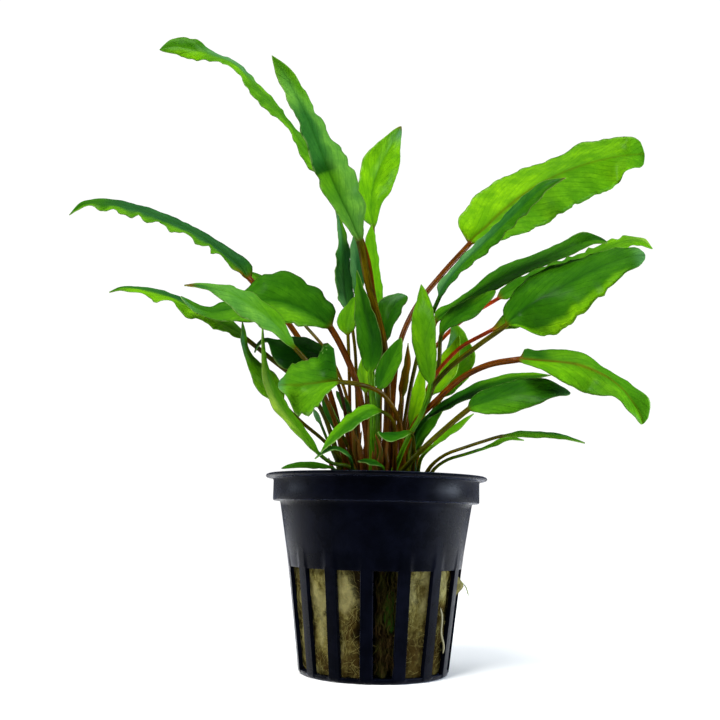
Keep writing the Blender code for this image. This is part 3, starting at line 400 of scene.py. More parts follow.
wool_fibre = principled("wool_fibre", (0.30, 0.27, 0.09), 0.95, MATT)
tree = wool_fibre.node_tree
where = add(tree, "TexCoord").outputs["Object"]
pulled = add(tree, "Mapping", {"Vector": where, "Rotation": (0.5, 0.4, 0), "Scale": (1, 1, 0.6)}).outputs[0]
patches = mottled(tree, where, 150, 0.39, 0.67, 7)
hair = mottled(tree, pulled, 1700, 0.38, 0.8, 4)
crease_shade = mottled(tree, where, 300, 0.48, 0.64, 6)
colour = mixed(tree, patches["Mask"], (0.012, 0.009, 0.002, 1), (0.105, 0.088, 0.022, 1))
colour = mixed(tree, hair["Mask"], colour, (0.17, 0.148, 0.044, 1))
height = add(tree, "SeparateXYZ", {0: where}).outputs["Z"]
# Painted shade: dark noise patches stand for the shade in the wool's creases, and are stronger towards the
# bottom.
bottom = ranged(tree, height, 0.001, 0.014, 1.0, 0.7)
shade = add(tree, "Math", {0: crease_shade["Mask"], 1: bottom}, operation="MULTIPLY").outputs[0]
colour = mixed(tree, shade, colour, (0.026, 0.016, 0.005, 1))
# Darker brown and paler patches, at the listed places and in noise.
blotched = add(tree, "Attribute", attribute_name="blotch").outputs["Fac"]
colour = mixed(tree, ranged(tree, blotched, 0.0, -0.9, 0.0, 0.85), colour, (0.024, 0.014, 0.003, 1))
colour = mixed(tree, ranged(tree, blotched, 0.0, 0.9, 0.0, 0.5), colour, (0.26, 0.24, 0.10, 1))
# Painted shade: where the wool is torn back between its ends, it is coloured dark brown to stand for the
# shadow in the hollow.
torn_and_shaded = add(tree, "Attribute", attribute_name="sunk").outputs["Fac"]
colour = mixed(tree, torn_and_shaded, colour, (0.022, 0.015, 0.006, 1))
lumps = bumped(tree, mottled(tree, where, 700, 0.3, 0.7, 5)["Height"], 0.9, 0.9 * MM)
joined(wool_fibre, {"Base Color": colour,
                    "Normal": bumped(tree, hair["Height"], 0.7, 0.25 * MM, Normal=lumps)})
wool = finished("wool_mat", wool_shape, wool_fibre, 60)
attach(wool, "root")
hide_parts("wool")

# Loose fibres that stand off the wool, matted over each other, in the slots and on the top.
chance = random.Random(7)
fibres = bmesh.new()
for _ in range(FIBRES):
    turn = chance.uniform(WOOL_FIRST_DEG, WOOL_LAST_DEG)
    z = chance.uniform(1.8, 25)
    lean, length = chance.uniform(-1.5, 1.5), chance.uniform(1.2, 3.8)
    points = []
    for k in range(4):
        lift = (0.05, 0.24, 0.3, 0.08)[k] * chance.uniform(0.6, 1.25)
        height = min(max(z + (k / 3 - 0.5) * length * math.cos(lean), 1.4), 25.6)
        radius = wall_radius(height) - WALL - 0.30 + lift
        swing = math.degrees((k / 3 - 0.5) * length * math.sin(lean) / radius) + chance.gauss(0, 0.8)
        points.append(at_angle(turn + swing, radius, height) * MM)
    strand(fibres, points, chance.uniform(0.02, 0.045) * MM, 3, 6)
for _ in range(TOP_FIBRES):
    turn, radius = chance.uniform(WOOL_FIRST_DEG, WOOL_LAST_DEG), chance.uniform(13.2, 21.4)
    heading, length = chance.uniform(0, math.tau), chance.uniform(1.5, 4)
    middle = at_angle(turn, radius, WOOL_TOP)
    points = []
    for k in range(4):
        step = Vector((math.cos(heading), math.sin(heading), 0)) * (k / 3 - 0.5) * length
        step.z = (0.0, 0.35, 0.4, 0.0)[k] * chance.uniform(0.5, 1.2)
        points.append((middle + step) * MM)
    strand(fibres, points, chance.uniform(0.03, 0.06) * MM, 3, 6)
loose = finished("wool_loose_fibres", fibres, principled("wool_pale", (0.16, 0.14, 0.045), 0.9, MATT))
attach(loose, "root")


# The root ball: brown roots matted through the middle of the wool, which show where the wool's ends don't
# meet. Single roots run down through that gap.
ROOT_RADIUS, RIDGE_PROUD, RIDGE_DEG, RIDGE_WIDTH_DEG = 10.4, 7.6, 6, 7.5
ROOT_BOTTOM, ROOT_HEIGHT, ROOT_END = 1.3, 42.2, 0.06
ROOT_THREADS = 60


def ball_place(turn, way):
    """The root mass's side, drawn in to a point at its top and bottom."""
    degrees = 360 * turn
    away = (degrees - RIDGE_DEG + 180) % 360 - 180
    radius = ROOT_RADIUS + RIDGE_PROUD * math.exp(-(away / RIDGE_WIDTH_DEG) ** 2)
    z = ROOT_BOTTOM + ROOT_HEIGHT * min(max((way - ROOT_END) / (1 - 2 * ROOT_END), 0), 1)
    inward = min(1, way / ROOT_END, (1 - way) / ROOT_END) if 0 < way < 1 else 0
    spot = at_angle(degrees, radius, z)
    radius += 0.5 * noise.noise(spot * 0.5) + 0.35 * noise.noise(spot * 1.4)
    return at_angle(degrees, radius * inward, z) * MM


root_shape = bmesh.new()
rolled(root_shape, 150, 110, ball_place)
humus = principled("root_brown", (0.05, 0.032, 0.014), 0.9, MATT)
tree = humus.node_tree
where = add(tree, "TexCoord").outputs["Object"]
pulled = add(tree, "Mapping", {"Vector": where, "Scale": (1, 1, 0.3)}).outputs[0]
stringy = mottled(tree, pulled, 1200, 0.35, 0.65, 5)
patches = mottled(tree, where, 240, 0.4, 0.65, 5)
colour = mixed(tree, stringy["Mask"], (0.004, 0.0025, 0.001, 1), (0.024, 0.015, 0.005, 1))
colour = mixed(tree, patches["Mask"], colour, (0.015, 0.017, 0.003, 1))
joined(humus, {"Base Color": colour, "Normal": bumped(tree, stringy["Height"], 0.9, 0.6 * MM)})
roots = finished("root_mass", root_shape, humus, 80)
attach(roots, "root")
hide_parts("root_ball")

root_strands = bmesh.new()
for _ in range(ROOT_THREADS):
    turn, z = chance.uniform(0, 13), chance.uniform(2, 20)
    points = [at_angle(turn + chance.gauss(0, 1.6) + k * chance.uniform(-0.8, 0.8),
                       18.2 + 0.06 * z + chance.uniform(-0.6, 0.5), z + k * 1.9) * MM for k in range(5)]
    strand(root_strands, points, chance.uniform(0.06, 0.16) * MM, 5, 12)
threads = finished("root_threads", root_strands, humus)
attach(threads, "root")


# Single things that show in the slots: a scrap of an old leaf among the roots, a pale root further right, and
# a thin green runner where the wool bulges out at the right.
def showing(name, points, radius, flatness, material):
    """A tapered strip through (degrees, radius, z) points, flattened against the pot's wall."""
    shape = bmesh.new()
    strand(shape, [at_angle(*point) * MM for point in points], radius * MM, 10, 24)
    for vert in shape.verts:
        depth = vert.co.xy.length
        middle = points[len(points) // 2][1] * MM
        vert.co.xy *= (middle + (depth - middle) * flatness) / depth
    piece = finished(name, shape, material)
    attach(piece, "root")


showing("root_leaf_scrap", ((11.5, 18.7, 21), (9.8, 18.6, 18), (9.2, 18.6, 15), (11.5, 18.5, 11.5)),
        1.1, 0.25, principled("old_leaf", (0.008, 0.022, 0.002), 0.6, MATT))
showing("root_pale", ((52, 19.6, 17), (55, 19.5, 14.5), (54.5, 19.3, 11), (58.5, 19.2, 8), (58, 19.0, 6)),
        0.34, 0.6, principled("pale_root", (0.14, 0.125, 0.055), 0.6))
showing("root_runner", ((77, 20.6, 23.2), (79, 22.4, 21.6), (79.5, 23.0, 20.4), (79, 23.4, 19.0)),
        0.14, 1, principled("runner_green", (0.16, 0.20, 0.04), 0.6))


# The crown: the short rhizome that all petioles rise from, rough with old leaf bases, bedded on the wool.
CROWN_RADIUS, CROWN_BOTTOM, CROWN_SIDE, CROWN_DOME = 13, 44.75, 45.6, 0.75
STUBS = 44


def crown_place(turn, way):
    """A low dome with a lumpy top and a flat underside."""
    radius = CROWN_RADIUS * min(1, 2.2 * min(way, 1 - way))
    degrees = 360 * turn
    spot = at_angle(degrees, radius, 0)
    if way < 0.5:
        return at_angle(degrees, radius * 0.97, CROWN_BOTTOM) * MM
    lump = 0.35 * noise.noise(spot * 0.5) + 0.3 * noise.noise(spot * 1.3)
    return at_angle(degrees, radius, CROWN_SIDE + CROWN_DOME * (1 - (radius / CROWN_RADIUS) ** 4) + lump) * MM


crown_shape = bmesh.new()
rolled(crown_shape, 90, 60, crown_place)
rhizome = principled("crown_brown", (0.16, 0.11, 0.03), 0.8, MATT)
tree = rhizome.node_tree
where = add(tree, "TexCoord").outputs["Object"]
scales = mottled(tree, where, 420, 0.38, 0.62, 6)
colour = mixed(tree, scales["Mask"], (0.05, 0.03, 0.012, 1), (0.22, 0.15, 0.045, 1))
joined(rhizome, {"Base Color": colour, "Normal": bumped(tree, scales["Height"], 0.9, 0.8 * MM)})
crown = finished("crown_rhizome", crown_shape, rhizome, 80)
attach(crown, "root")
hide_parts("crown")

# Stubs of old petioles stand close together among the growing ones, dry and ribbed.
stubs = bmesh.new()
for _ in range(STUBS):
    turn, out, height = chance.uniform(0, 360), chance.uniform(1.5, 9), chance.uniform(7, 24)
    points = [at_angle(turn + k * chance.uniform(-3, 3), out * (1 + 0.16 * k), 45.4 + height * k / 3) * MM
              for k in range(4)]
    strand(stubs, points, chance.uniform(0.4, 0.8) * MM, 8, 18, 1.4)
stub_brown = principled("stub_brown", (0.12, 0.06, 0.015), 0.55, {**MATT, "Coat Weight": 0.06})
tree = stub_brown.node_tree
where = add(tree, "TexCoord").outputs["Object"]
pulled = add(tree, "Mapping", {"Vector": where, "Scale": (1, 1, 0.12)}).outputs[0]
ribs_and_highlights = mottled(tree, pulled, 1500, 0.35, 0.65, 3)
kinds = mottled(tree, pulled, 260, 0.4, 0.6, 2)
colour = mixed(tree, kinds["Mask"], (0.075, 0.02, 0.004, 1), (0.04, 0.042, 0.004, 1))
# Painted highlight: the raised rib streaks are a lighter orange, as if light caught on them.
colour = mixed(tree, ribs_and_highlights["Mask"], colour, (0.11, 0.043, 0.007, 1))
joined(stub_brown, {"Base Color": colour, "Normal": bumped(tree, ribs_and_highlights["Height"], 0.6, 0.3 * MM)})
old_bases = finished("crown_stubs", stubs, stub_brown)
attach(old_bases, "root")


# The leaves: each a petiole and a blade grown as one piece. The blade is thin and a little fleshy, with a
# midrib that runs on from the petiole, side veins that slant to the tip, and a margin that waves.
GROOVE = 0.16 * MM
BLADE_STEP, STALK_STEP = 0.8 * MM, 1.6 * MM
AROUND_STEPS = 44
NEAR_IS_WIDER = 1.2 * MM
SUNK_FOOT, THINNEST_RIB, STALK_SLIM = 0.9 * MM, 0.02 * MM, 0.9
BLADE_HALF, BLADE_SWELL = 0.12 * MM, 0.05 * MM
CHANNEL_DEPTH, CHANNEL_WIDTH, QUILT_DEPTH = 0.07 * MM, 0.5 * MM, 0.2 * MM
WIDEST_WAVE = 4 * MM


def sections_of(node):
    """A leaf solid's sections from its foot to its tip, read off a merged copy of its mesh.

    The solid is a point, rings of six points and a point. A ring comes back as its points in order: the left,
    middle and right of its near side, then the right, middle and left of its far side.
    """
    solid = bmesh.new()
    solid.from_mesh(node.data)
    bmesh.ops.remove_doubles(solid, verts=solid.verts, dist=1e-6)
    solid.verts.index_update()
    for foot in sorted(solid.verts, key=lambda v: v.co.z):
        levels, seen = [[foot]], {foot}
        while levels[-1]:
            reached = {edge.other_vert(v) for v in levels[-1] for edge in v.link_edges} - seen
            seen |= reached
            levels.append(sorted(reached, key=lambda v: v.index))
        levels.pop()
        if len(levels[-1]) == 1 and all(len(level) == 6 for level in levels[1:-1]):
            break
    else:
        raise ValueError(node.name + " isn't a row of rings")
    middles = [sum((v.co for v in level), Vector()) / len(level) for level in levels]
    rings = []
    for k, level in enumerate(levels[1:-1], 1):
        order = [level[0]]
        while len(order) < 6:
            order.append(next(v for v in level if v not in order
                              and any(edge.other_vert(v) is order[-1] for edge in v.link_edges)))
        points = [v.co.copy() for v in order]
        turn = sum((a.cross(b) for a, b in zip(points, points[1:] + points[:1])), Vector())
        rings.append(points if turn.dot(middles[k + 1] - middles[k - 1]) > 0 else points[::-1])
    solid.free()

    def rolled_by(points, k):
        return points[k:] + points[:k]

    def span(points):
        return max((a - b).length for a in points for b in points)

    def flatness(points):
        near, far = (points[0] - points[2]).length, (points[5] - points[3]).length
        bevels = (points[0] - points[5]).length + (points[2] - points[3]).length
        return bevels - (NEAR_IS_WIDER if near > far else 0)

    widest = max(range(len(rings)), key=lambda k: span(rings[k]))
    rings[widest] = min((rolled_by(rings[widest], k) for k in range(6)), key=flatness)
    for this, last in ([(k, k - 1) for k in range(widest + 1, len(rings))]
                       + [(k, k + 1) for k in range(widest - 1, -1, -1)]):
        guide = [p - middles[last + 1] for p in rings[last]]
        rings[this] = max((rolled_by(rings[this], k) for k in range(6)), key=lambda points: sum(
            (p - middles[this + 1]).dot(g) for p, g in zip(points, guide)))
    return middles[0], rings, middles[-1]


def leaf_rows(node):
    """Evenly spaced cross sections of a leaf: spine, margins, upward side, rib size, and blade or stalk."""
    foot, rings, tip = sections_of(node)
    is_blade = [(p[0] - p[2]).length > (p[1] - p[4]).length for p in rings]
    joint = is_blade.index(True) - 1
    spine, left, right, up, rib = [], [], [], [], []
    for points, blade in zip(rings, is_blade):
        rise = (points[1] - points[4]).normalized()
        depth = (points[1] - points[4]).length
        spine.append(points[1] - rise * (GROOVE if blade else depth / 2))
        left.append((points[0] + points[5]) / 2)
        right.append((points[2] + points[3]) / 2)
        up.append(rise)
        rib.append(Vector((depth - GROOVE if blade else depth / 2, 0, 0)))
    sunk = spine[0] + (foot - spine[0]).normalized() * SUNK_FOOT
    spine, left, right = [sunk] + spine + [tip], [sunk] + left + [tip], [sunk] + right + [tip]
    up, rib = [up[0]] + up + [up[-1]], [rib[0]] + rib + [Vector()]
    places = [0.0]
    for a, b in zip(spine, spine[1:]):
        places.append(places[-1] + (b - a).length)
    joint_at, blade_at = places[joint + 1], places[joint + 2]
    stations = []
    for k in range(len(places) - 1):
        step = STALK_STEP if k <= joint else BLADE_STEP
        count = max(1, round((places[k + 1] - places[k]) / step))
        stations += [places[k] + (places[k + 1] - places[k]) * i / count for i in range(count)]
    end = places[-1] - places[-2]
    stations += [places[-1] - 0.2 * MM, places[-1] - 0.05 * MM, places[-1]]
    blunt = min(1, (left[-2] - right[-2]).length / 2 / end)
    round_base = min(1, (left[joint + 2] - right[joint + 2]).length / 2 / (blade_at - joint_at))
    rows = []
    for at in sorted(stations):
        ahead = smooth_read(spine, places, min(at + 0.4 * MM, places[-1]))
        behind = smooth_read(spine, places, max(at - 0.4 * MM, 0))
        onward = (ahead - behind).normalized()
        rise = smooth_read(up, places, at)
        rise = (rise - onward * rise.dot(onward)).normalized()
        flat = min(max((at - joint_at) / (blade_at - joint_at), 0), 1)
        middle, to_tip = smooth_read(spine, places, at), min(max(places[-1] - at, 0.01 * MM) / end, 1)
        rounding = to_tip ** (-0.5 * blunt) * (max(flat, 0.02) ** (-0.5 * round_base) if at > joint_at else 1)
        rows.append(dict(
            at=at, spine=middle, left=middle.lerp(smooth_read(left, places, at), rounding),
            right=middle.lerp(smooth_read(right, places, at), rounding), up=rise, across=onward.cross(rise),
            rib=max(smooth_read(rib, places, at).x, THINNEST_RIB),
            flat=1 - (1 - flat) ** (2 + 1.5 * round_base),
            way=(at - joint_at) / (places[-1] - joint_at), on_stalk=at / joint_at))
    return rows


def leaf_shape(rows, seed, look):
    """A leaf's skin wrapped round its sections, with the attributes that its finish reads."""
    shape = bmesh.new()
    layers = shape.verts.layers
    reading = [layers.float.new(name) for name in ("side", "edge", "width", "stalk", "under", "along")]
    tint = layers.float_color.new("tint")
    length = len(rows) - 1
    made = bmesh.ops.create_grid(shape, x_segments=AROUND_STEPS, y_segments=length, size=0.5)["verts"]
    for vert in made:
        turn = round((vert.co.x + 0.5) * AROUND_STEPS) / AROUND_STEPS
        row = rows[round((vert.co.y + 0.5) * length)]
        near = turn <= 0.5
        line = 4 * turn - 1 if near else 3 - 4 * turn
        side = math.copysign(1, line)
        x = side * abs(line) ** 1.35
        edge = abs(x)
        angle = math.pi * (1 - line) / 2 * (1 if near else -1)
        sheath = 1 + 0.7 * max(0, 1 - 2.6 * row["on_stalk"]) ** 1.5 * min(1, 30 * row["on_stalk"])
        round_about = row["across"] * math.cos(angle) + row["up"] * math.sin(angle)
        stalk = row["spine"] + round_about * row["rib"] * sheath * STALK_SLIM
        reach = (row["right"] if x > 0 else row["left"]) - row["spine"]
        width, way, at = reach.length, row["way"], row["at"] / MM
        taper = min(1, max(way, 0) * 6, (1 - way) * 7)
        beat = math.tau * at / look["beat"] + 2.1 * side + seed
        uneven = noise.noise(Vector((at / 4.5, seed * 3.1, side * 5)))
        ripple = 0.75 * math.sin(beat + 2.5 * uneven)
        ripple += 0.7 * noise.noise(Vector((at / 2.2, seed * 7.7, side * 9)))
        crimp = 1.7 * abs(math.sin(beat / 2 + 1.2 * uneven)) - 1.1
        crimp += 0.9 * noise.noise(Vector((at / 1.7, seed * 5.3, side * 3 + 20)))
        taper *= 1 - max(0, -side * look["bias"])
        lift = row["up"]
        if width > 1e-6:
            slope = reach.normalized()
            lift = (lift - slope * lift.dot(slope)).normalized()
        closing = (1 - edge ** 6) ** 0.5
        body = (BLADE_HALF + BLADE_SWELL * (1 - edge)) * closing
        offset = look["cup"] * width * math.sin(math.pi * edge)
        offset += look["wave"] * taper * edge ** 2 * ripple * min(width, WIDEST_WAVE)
        spread = x * width / MM
        quilt = noise.noise(Vector((at / 3.4, spread / 2.4, seed)))
        quilt += 0.6 * noise.noise(Vector((at / 1.8, spread / 1.3, seed)))
        offset += QUILT_DEPTH * quilt * min(1, 0.5 * abs(spread)) * min(1, max(way, 0) * 8)
        channel = math.exp(-(edge * width / CHANNEL_WIDTH) ** 2)
        if near:
            offset += body - CHANNEL_DEPTH * channel * (1 - way) * closing
        else:
            keel = math.exp(-(edge * width / (0.9 * row["rib"] + 0.1 * MM)) ** 2)
            offset -= body + row["rib"] * keel * closing
        blade = row["spine"] + reach * edge * (1 + look["crimp"] * crimp * taper * edge) + lift * offset
        vert.co = stalk.lerp(blade, row["flat"])
        facts = (x, edge * width / MM, width / MM, 1 - row["flat"], 0 if near else 1, at)
        for layer, value in zip(reading, facts):
            vert[layer] = value
        shift = 0.16 * noise.noise(Vector((at / 3, seed * 2.3, 4)))
        vert[tint] = leaf_tint(look, way, x + shift, edge * width / MM, row["on_stalk"], row["flat"])
    bmesh.ops.remove_doubles(shape, verts=shape.verts, dist=1e-7)
    bmesh.ops.holes_fill(shape, edges=[edge for edge in shape.edges if edge.is_boundary], sides=0)
    return shape


def paint(code):
    """A colour as the eye names it, in the light's own scale."""
    parts = [int(code[i:i + 2], 16) / 255 for i in (0, 2, 4)]
    return Vector([(part / 12.92 if part <= 0.04045 else ((part + 0.055) / 1.055) ** 2.4) for part in parts])


# The leaves' named greens, with light painted into some. slate and silver are painted sheen: the bright room
# mirrored on glossy blades. lime and citron are partly young green and partly painted light shining through
# backlit blades. dark is partly the midribs' own colour, and dark and night also stand for painted shade on
# blades in the shadow of others.
PAINTS = {name: paint(code) for name, code in (
    ("citron", "6a9c06"), ("leek", "4a7c2a"), ("lime", "5c9208"), ("spring", "4d8308"), ("fresh", "42760c"),
    ("grass", "34680a"), ("mid", "275908"), ("deep", "1d4c08"), ("dark", "133c08"), ("night", "0a2805"),
    ("teal", "24561c"), ("blue", "1c4a20"), ("slate", "406f3e"), ("silver", "688f66"), ("pale", "729430"),
    ("olive", "4c4800"), ("moss", "384000"), ("umber", "5a3002"), ("bark", "3a2000"), ("russet", "783400"),
    ("rose", "8c2c06"))}


def leaf_tint(look, way, x, from_rib, on_stalk, flat):
    """The colour of one place on a leaf, from its few named colours."""
    foot, top = (PAINTS[name] for name in look["stalk"])
    stalk = foot.lerp(top, min(max(on_stalk, 0), 1) ** 1.3)
    stations = look["blade"]
    k = max([i for i, row in enumerate(stations[:-1]) if row[0] <= way] or [0])
    (w0, *from_paints), (w1, *to_paints) = stations[k], stations[min(k + 1, len(stations) - 1)]
    t = min(max((way - w0) / max(w1 - w0, 1e-6), 0), 1)
    t = t * t * (3 - 2 * t)
    left, right = (PAINTS[from_paints[half]].lerp(PAINTS[to_paints[half]], t) for half in (0, -1))
    s = min(max((x - look["split"]) * look["sharp"] + 0.5, 0), 1)
    colour = left.lerp(right, s * s * (3 - 2 * s))
    line = math.exp(-(from_rib / (0.5 * (1.15 - 0.6 * max(way, 0)))) ** 2) * (1 - 0.6 * max(way, 0))
    colour = colour.lerp(PAINTS[look["rib"]], 0.75 * line)
    colour = stalk.lerp(colour, flat)
    return (*colour, 1)


def looks(foot, top, rib, *blade, wave=0.08, cup=0.05, crimp=0.05, beat=7.0, bias=0.0, split=0.0, sharp=1.6):
    """What a leaf looks like.

    It gives the petiole's colour at its foot and top, the midrib's, and those of the blade's left and right
    half at a few places from the joint, 0, to the tip, 1. One colour stands for both halves, which meet at
    split, 0 at the midrib, and sharp says how suddenly. The margin waves and crimps once a beat, in
    millimetres, and bias keeps one margin calmer.
    """
    return dict(stalk=(foot, top), rib=rib, blade=blade, wave=wave, cup=cup, crimp=crimp, beat=beat,
                bias=bias, split=split, sharp=sharp)


LOOKS = {
    "leaf_left_01": looks("umber", "umber", "grass", (0, "fresh"), (0.3, "fresh", "grass"),
        (0.5, "grass", "fresh"), (0.62, "spring", "slate"), (0.76, "fresh", "slate"),
        (0.84, "lime", "grass"), (1, "fresh", "grass"), wave=0.06, crimp=0.08, beat=5),
    # Painted shadow: the dark-to-teal stretch of the left half, from 0.39 to about 0.7, is the shade of the
    # leaf behind, seen through the blade.
    "leaf_left_02": looks("umber", "olive", "deep", (0, "leek"), (0.365, "fresh", "leek"),
        (0.39, "dark", "leek"), (0.47, "teal", "leek"), (0.66, "teal", "leek"), (0.82, "leek", "fresh"),
        (1, "fresh", "grass"), wave=0.1, crimp=0.07, beat=8, split=0.3),
    "leaf_left_03": looks("umber", "olive", "teal", (0, "slate", "teal"), (0.5, "teal", "blue"),
        (0.8, "slate", "fresh"), (1, "slate", "fresh"), crimp=0.1),
    "leaf_left_04": looks("umber", "olive", "fresh", (0, "spring"), (0.5, "lime"),
        (0.8, "spring", "lime"), (0.95, "fresh", "slate"), (1, "umber"), wave=0.04, crimp=0.03,
        beat=12),
    "leaf_left_05": looks("umber", "olive", "spring", (0, "spring"), (0.5, "lime", "spring"),
        (1, "spring")),
    "leaf_left_06": looks("umber", "umber", "deep", (0, "grass", "deep"), (0.6, "mid", "deep"),
        (1, "slate", "mid"), wave=0.05),
    "leaf_left_07": looks("umber", "olive", "slate", (0, "teal"), (0.5, "slate", "blue"),
        (1, "slate")),
    "leaf_left_08": looks("russet", "olive", "fresh", (0, "spring", "fresh"), (1, "fresh", "spring")),
    "leaf_left_09": looks("spring", "fresh", "deep", (0, "mid", "deep"), (0.4, "mid", "dark"),
        (1, "fresh", "mid"), wave=0.05, crimp=0.03),
    "leaf_left_10": looks("moss", "grass", "deep", (0, "deep", "grass"), (1, "mid", "grass"), wave=0.05),
    "leaf_left_11": looks("russet", "olive", "fresh", (0, "lime", "citron"), (1, "citron", "lime")),
    # Painted light and shade: the left half is lighter and the right half darker, as the light falls on them.
    "leaf_left_12": looks("umber", "umber", "deep", (0, "mid", "deep"), (0.25, "fresh", "mid"),
        (0.62, "fresh", "mid"), (0.8, "grass", "mid"), (1, "slate", "grass"),
        wave=0.06, crimp=0.07, beat=6, split=-0.3),
    "leaf_left_13": looks("umber", "olive", "fresh", (0, "fresh", "leek"), (0.3, "leek", "fresh"),
        (0.7, "leek"), (0.9, "teal", "leek"), (0.97, "umber"), crimp=0.06),
    "leaf_left_14": looks("moss", "olive", "grass", (0, "grass", "fresh"), (0.12, "spring", "fresh"),
        (0.35, "spring", "grass"), (0.5, "spring", "blue"), (0.8, "lime", "teal"), (1, "mid"),
        wave=0.16, crimp=0.2, beat=8, bias=-0.85, split=-0.2, sharp=2.5),
    "leaf_left_15": looks("umber", "umber", "deep", (0, "umber", "mid"), (0.12, "grass", "blue"),
        (0.4, "fresh", "blue"), (0.7, "fresh", "blue"), (0.88, "fresh", "mid"), (1, "fresh", "mid"),
        wave=0.2, crimp=0.24, beat=7.5, bias=-0.9, split=-0.6, sharp=2.5),
    "leaf_left_16": looks("umber", "olive", "moss", (0, "grass"), (1, "fresh", "mid")),
    "leaf_left_17": looks("bark", "bark", "dark", (0, "night", "dark"), (0.4, "dark"),
        (0.75, "dark", "deep"), (1, "slate", "moss"), wave=0.06),
    # Partly painted shade: the right half is deep green near the joint, where that part of the blade turns
    # away from the light.
    "leaf_left_18": looks("umber", "olive", "olive", (0, "fresh", "deep"), (0.22, "fresh", "deep"),
        (0.42, "fresh", "grass"), (0.85, "fresh"), (1, "slate"), cup=0.03, wave=0.05,
        crimp=0.1, beat=3),
    "leaf_left_19": looks("moss", "olive", "fresh", (0, "fresh", "spring"), (0.5, "spring", "fresh"),
        (0.8, "slate", "fresh"), (1, "fresh"), wave=0.05),
    "leaf_left_20": looks("olive", "fresh", "fresh", (0, "spring", "fresh"), (0.5, "pale", "fresh"),
        (1, "spring", "fresh"), wave=0.05),
    "leaf_left_21": looks("moss", "grass", "grass", (0, "grass"), (1, "mid", "grass")),
    "leaf_left_22": looks("umber", "moss", "mid", (0, "grass", "fresh"), (0.5, "mid", "spring"),
        (1, "grass", "fresh"), wave=0.04, crimp=0.03),
    "leaf_left_23": looks("bark", "moss", "deep", (0, "mid", "deep"), (1, "deep", "dark"), wave=0.04),
    "leaf_left_24": looks("moss", "grass", "dark", (0, "deep"), (1, "dark", "mid")),
    "leaf_left_25": looks("moss", "teal", "teal", (0, "teal", "mid"), (1, "teal", "deep")),
    "leaf_left_26": looks("umber", "moss", "deep", (0, "grass", "deep"), (1, "mid", "deep")),
    "leaf_left_27": looks("bark", "moss", "dark", (0, "dark", "deep"), (1, "deep", "dark")),
    "leaf_left_28": looks("moss", "grass", "slate", (0, "fresh", "slate"), (1, "silver", "slate")),
    "leaf_right_01": looks("umber", "umber", "olive", (0, "lime", "spring"), (0.3, "lime", "fresh"),
        (0.6, "spring", "fresh"), (0.85, "spring"), (1, "fresh", "grass"), cup=0.015, wave=0.05,
        crimp=0.035, beat=9),
    "leaf_right_02": looks("umber", "mid", "blue", (0, "slate", "teal"), (0.3, "slate", "mid"),
        (0.6, "teal", "mid"), (0.97, "mid"), (0.995, "umber"), crimp=0.09,
        beat=5, bias=0.4),
    # Painted shade: the right half is darker, as the folded half that lies in shadow.
    "leaf_right_03": looks("umber", "umber", "dark", (0, "grass", "mid"), (0.35, "mid", "deep"),
        (0.6, "mid", "deep"), (0.85, "mid"), (1, "dark", "grass"), wave=0.04, crimp=0.03, beat=12),
    "leaf_right_04": looks("olive", "moss", "deep", (0, "grass", "deep"), (0.5, "deep", "mid"),
        (1, "fresh", "grass"), wave=0.05),
    # The lime band along the right margin is partly the paler underside turned up and partly painted light.
    # The darker rest of the blade is partly painted shade.
    "leaf_right_05": looks("moss", "olive", "dark", (0, "mid", "spring"), (0.15, "mid", "lime"),
        (0.4, "mid", "lime"), (0.78, "mid", "spring"), (0.9, "mid"), (1, "slate"), wave=0.06,
        crimp=0.06, beat=5, bias=0.4, split=0.74, sharp=5),
    "leaf_right_06": looks("umber", "rose", "mid", (0, "mid", "grass"), (0.5, "grass", "mid"),
        (0.8, "spring", "fresh"), (1, "pale", "spring"), wave=0.14, crimp=0.08, beat=6),
    "leaf_right_07": looks("umber", "umber", "umber", (0, "deep", "fresh"), (0.12, "deep", "spring"),
        (0.3, "fresh", "spring"), (0.6, "grass", "fresh"), (0.78, "grass", "fresh"), (1, "grass", "spring"),
        cup=0.03, wave=0.05, crimp=0.04, beat=9),
    "leaf_right_08": looks("moss", "olive", "deep", (0, "deep", "grass"), (0.4, "deep", "grass"),
        (0.8, "mid", "deep"), (1, "slate"), wave=0.04, crimp=0.03),
    "leaf_right_09": looks("dark", "dark", "dark", (0, "dark", "night"), (0.4, "deep", "night"),
        (0.7, "fresh", "deep"), (1, "spring", "mid"), wave=0.04),
    "leaf_right_10": looks("fresh", "fresh", "fresh", (0, "fresh"), (0.5, "spring", "fresh"),
        (1, "fresh", "spring"), wave=0.03, crimp=0.02),
    "leaf_right_11": looks("olive", "fresh", "spring", (0, "lime", "citron"), (1, "citron", "lime"),
        wave=0.04),
    "leaf_right_12": looks("olive", "fresh", "spring", (0, "citron", "lime"), (1, "citron"),
        wave=0.04),
    "leaf_right_13": looks("umber", "olive", "fresh", (0, "fresh", "spring"), (0.4, "lime", "spring"),
        (0.75, "slate", "fresh"), (1, "fresh")),
    "leaf_right_14": looks("bark", "umber", "bark", (0, "umber", "moss"), (1, "moss", "umber")),
    "leaf_right_15": looks("moss", "grass", "mid", (0, "mid", "grass"), (1, "grass", "mid")),
    "leaf_right_16": looks("olive", "fresh", "spring", (0, "spring", "fresh"), (1, "fresh", "spring")),
    "leaf_right_17": looks("olive", "olive", "fresh", (0, "fresh"), (0.6, "teal", "fresh"),
        (1, "slate", "fresh"), wave=0.05),
    "leaf_right_18": looks("olive", "fresh", "fresh", (0, "spring", "fresh"), (1, "fresh")),
    "leaf_right_19": looks("umber", "rose", "grass", (0, "grass", "fresh"), (1, "fresh", "spring")),
}

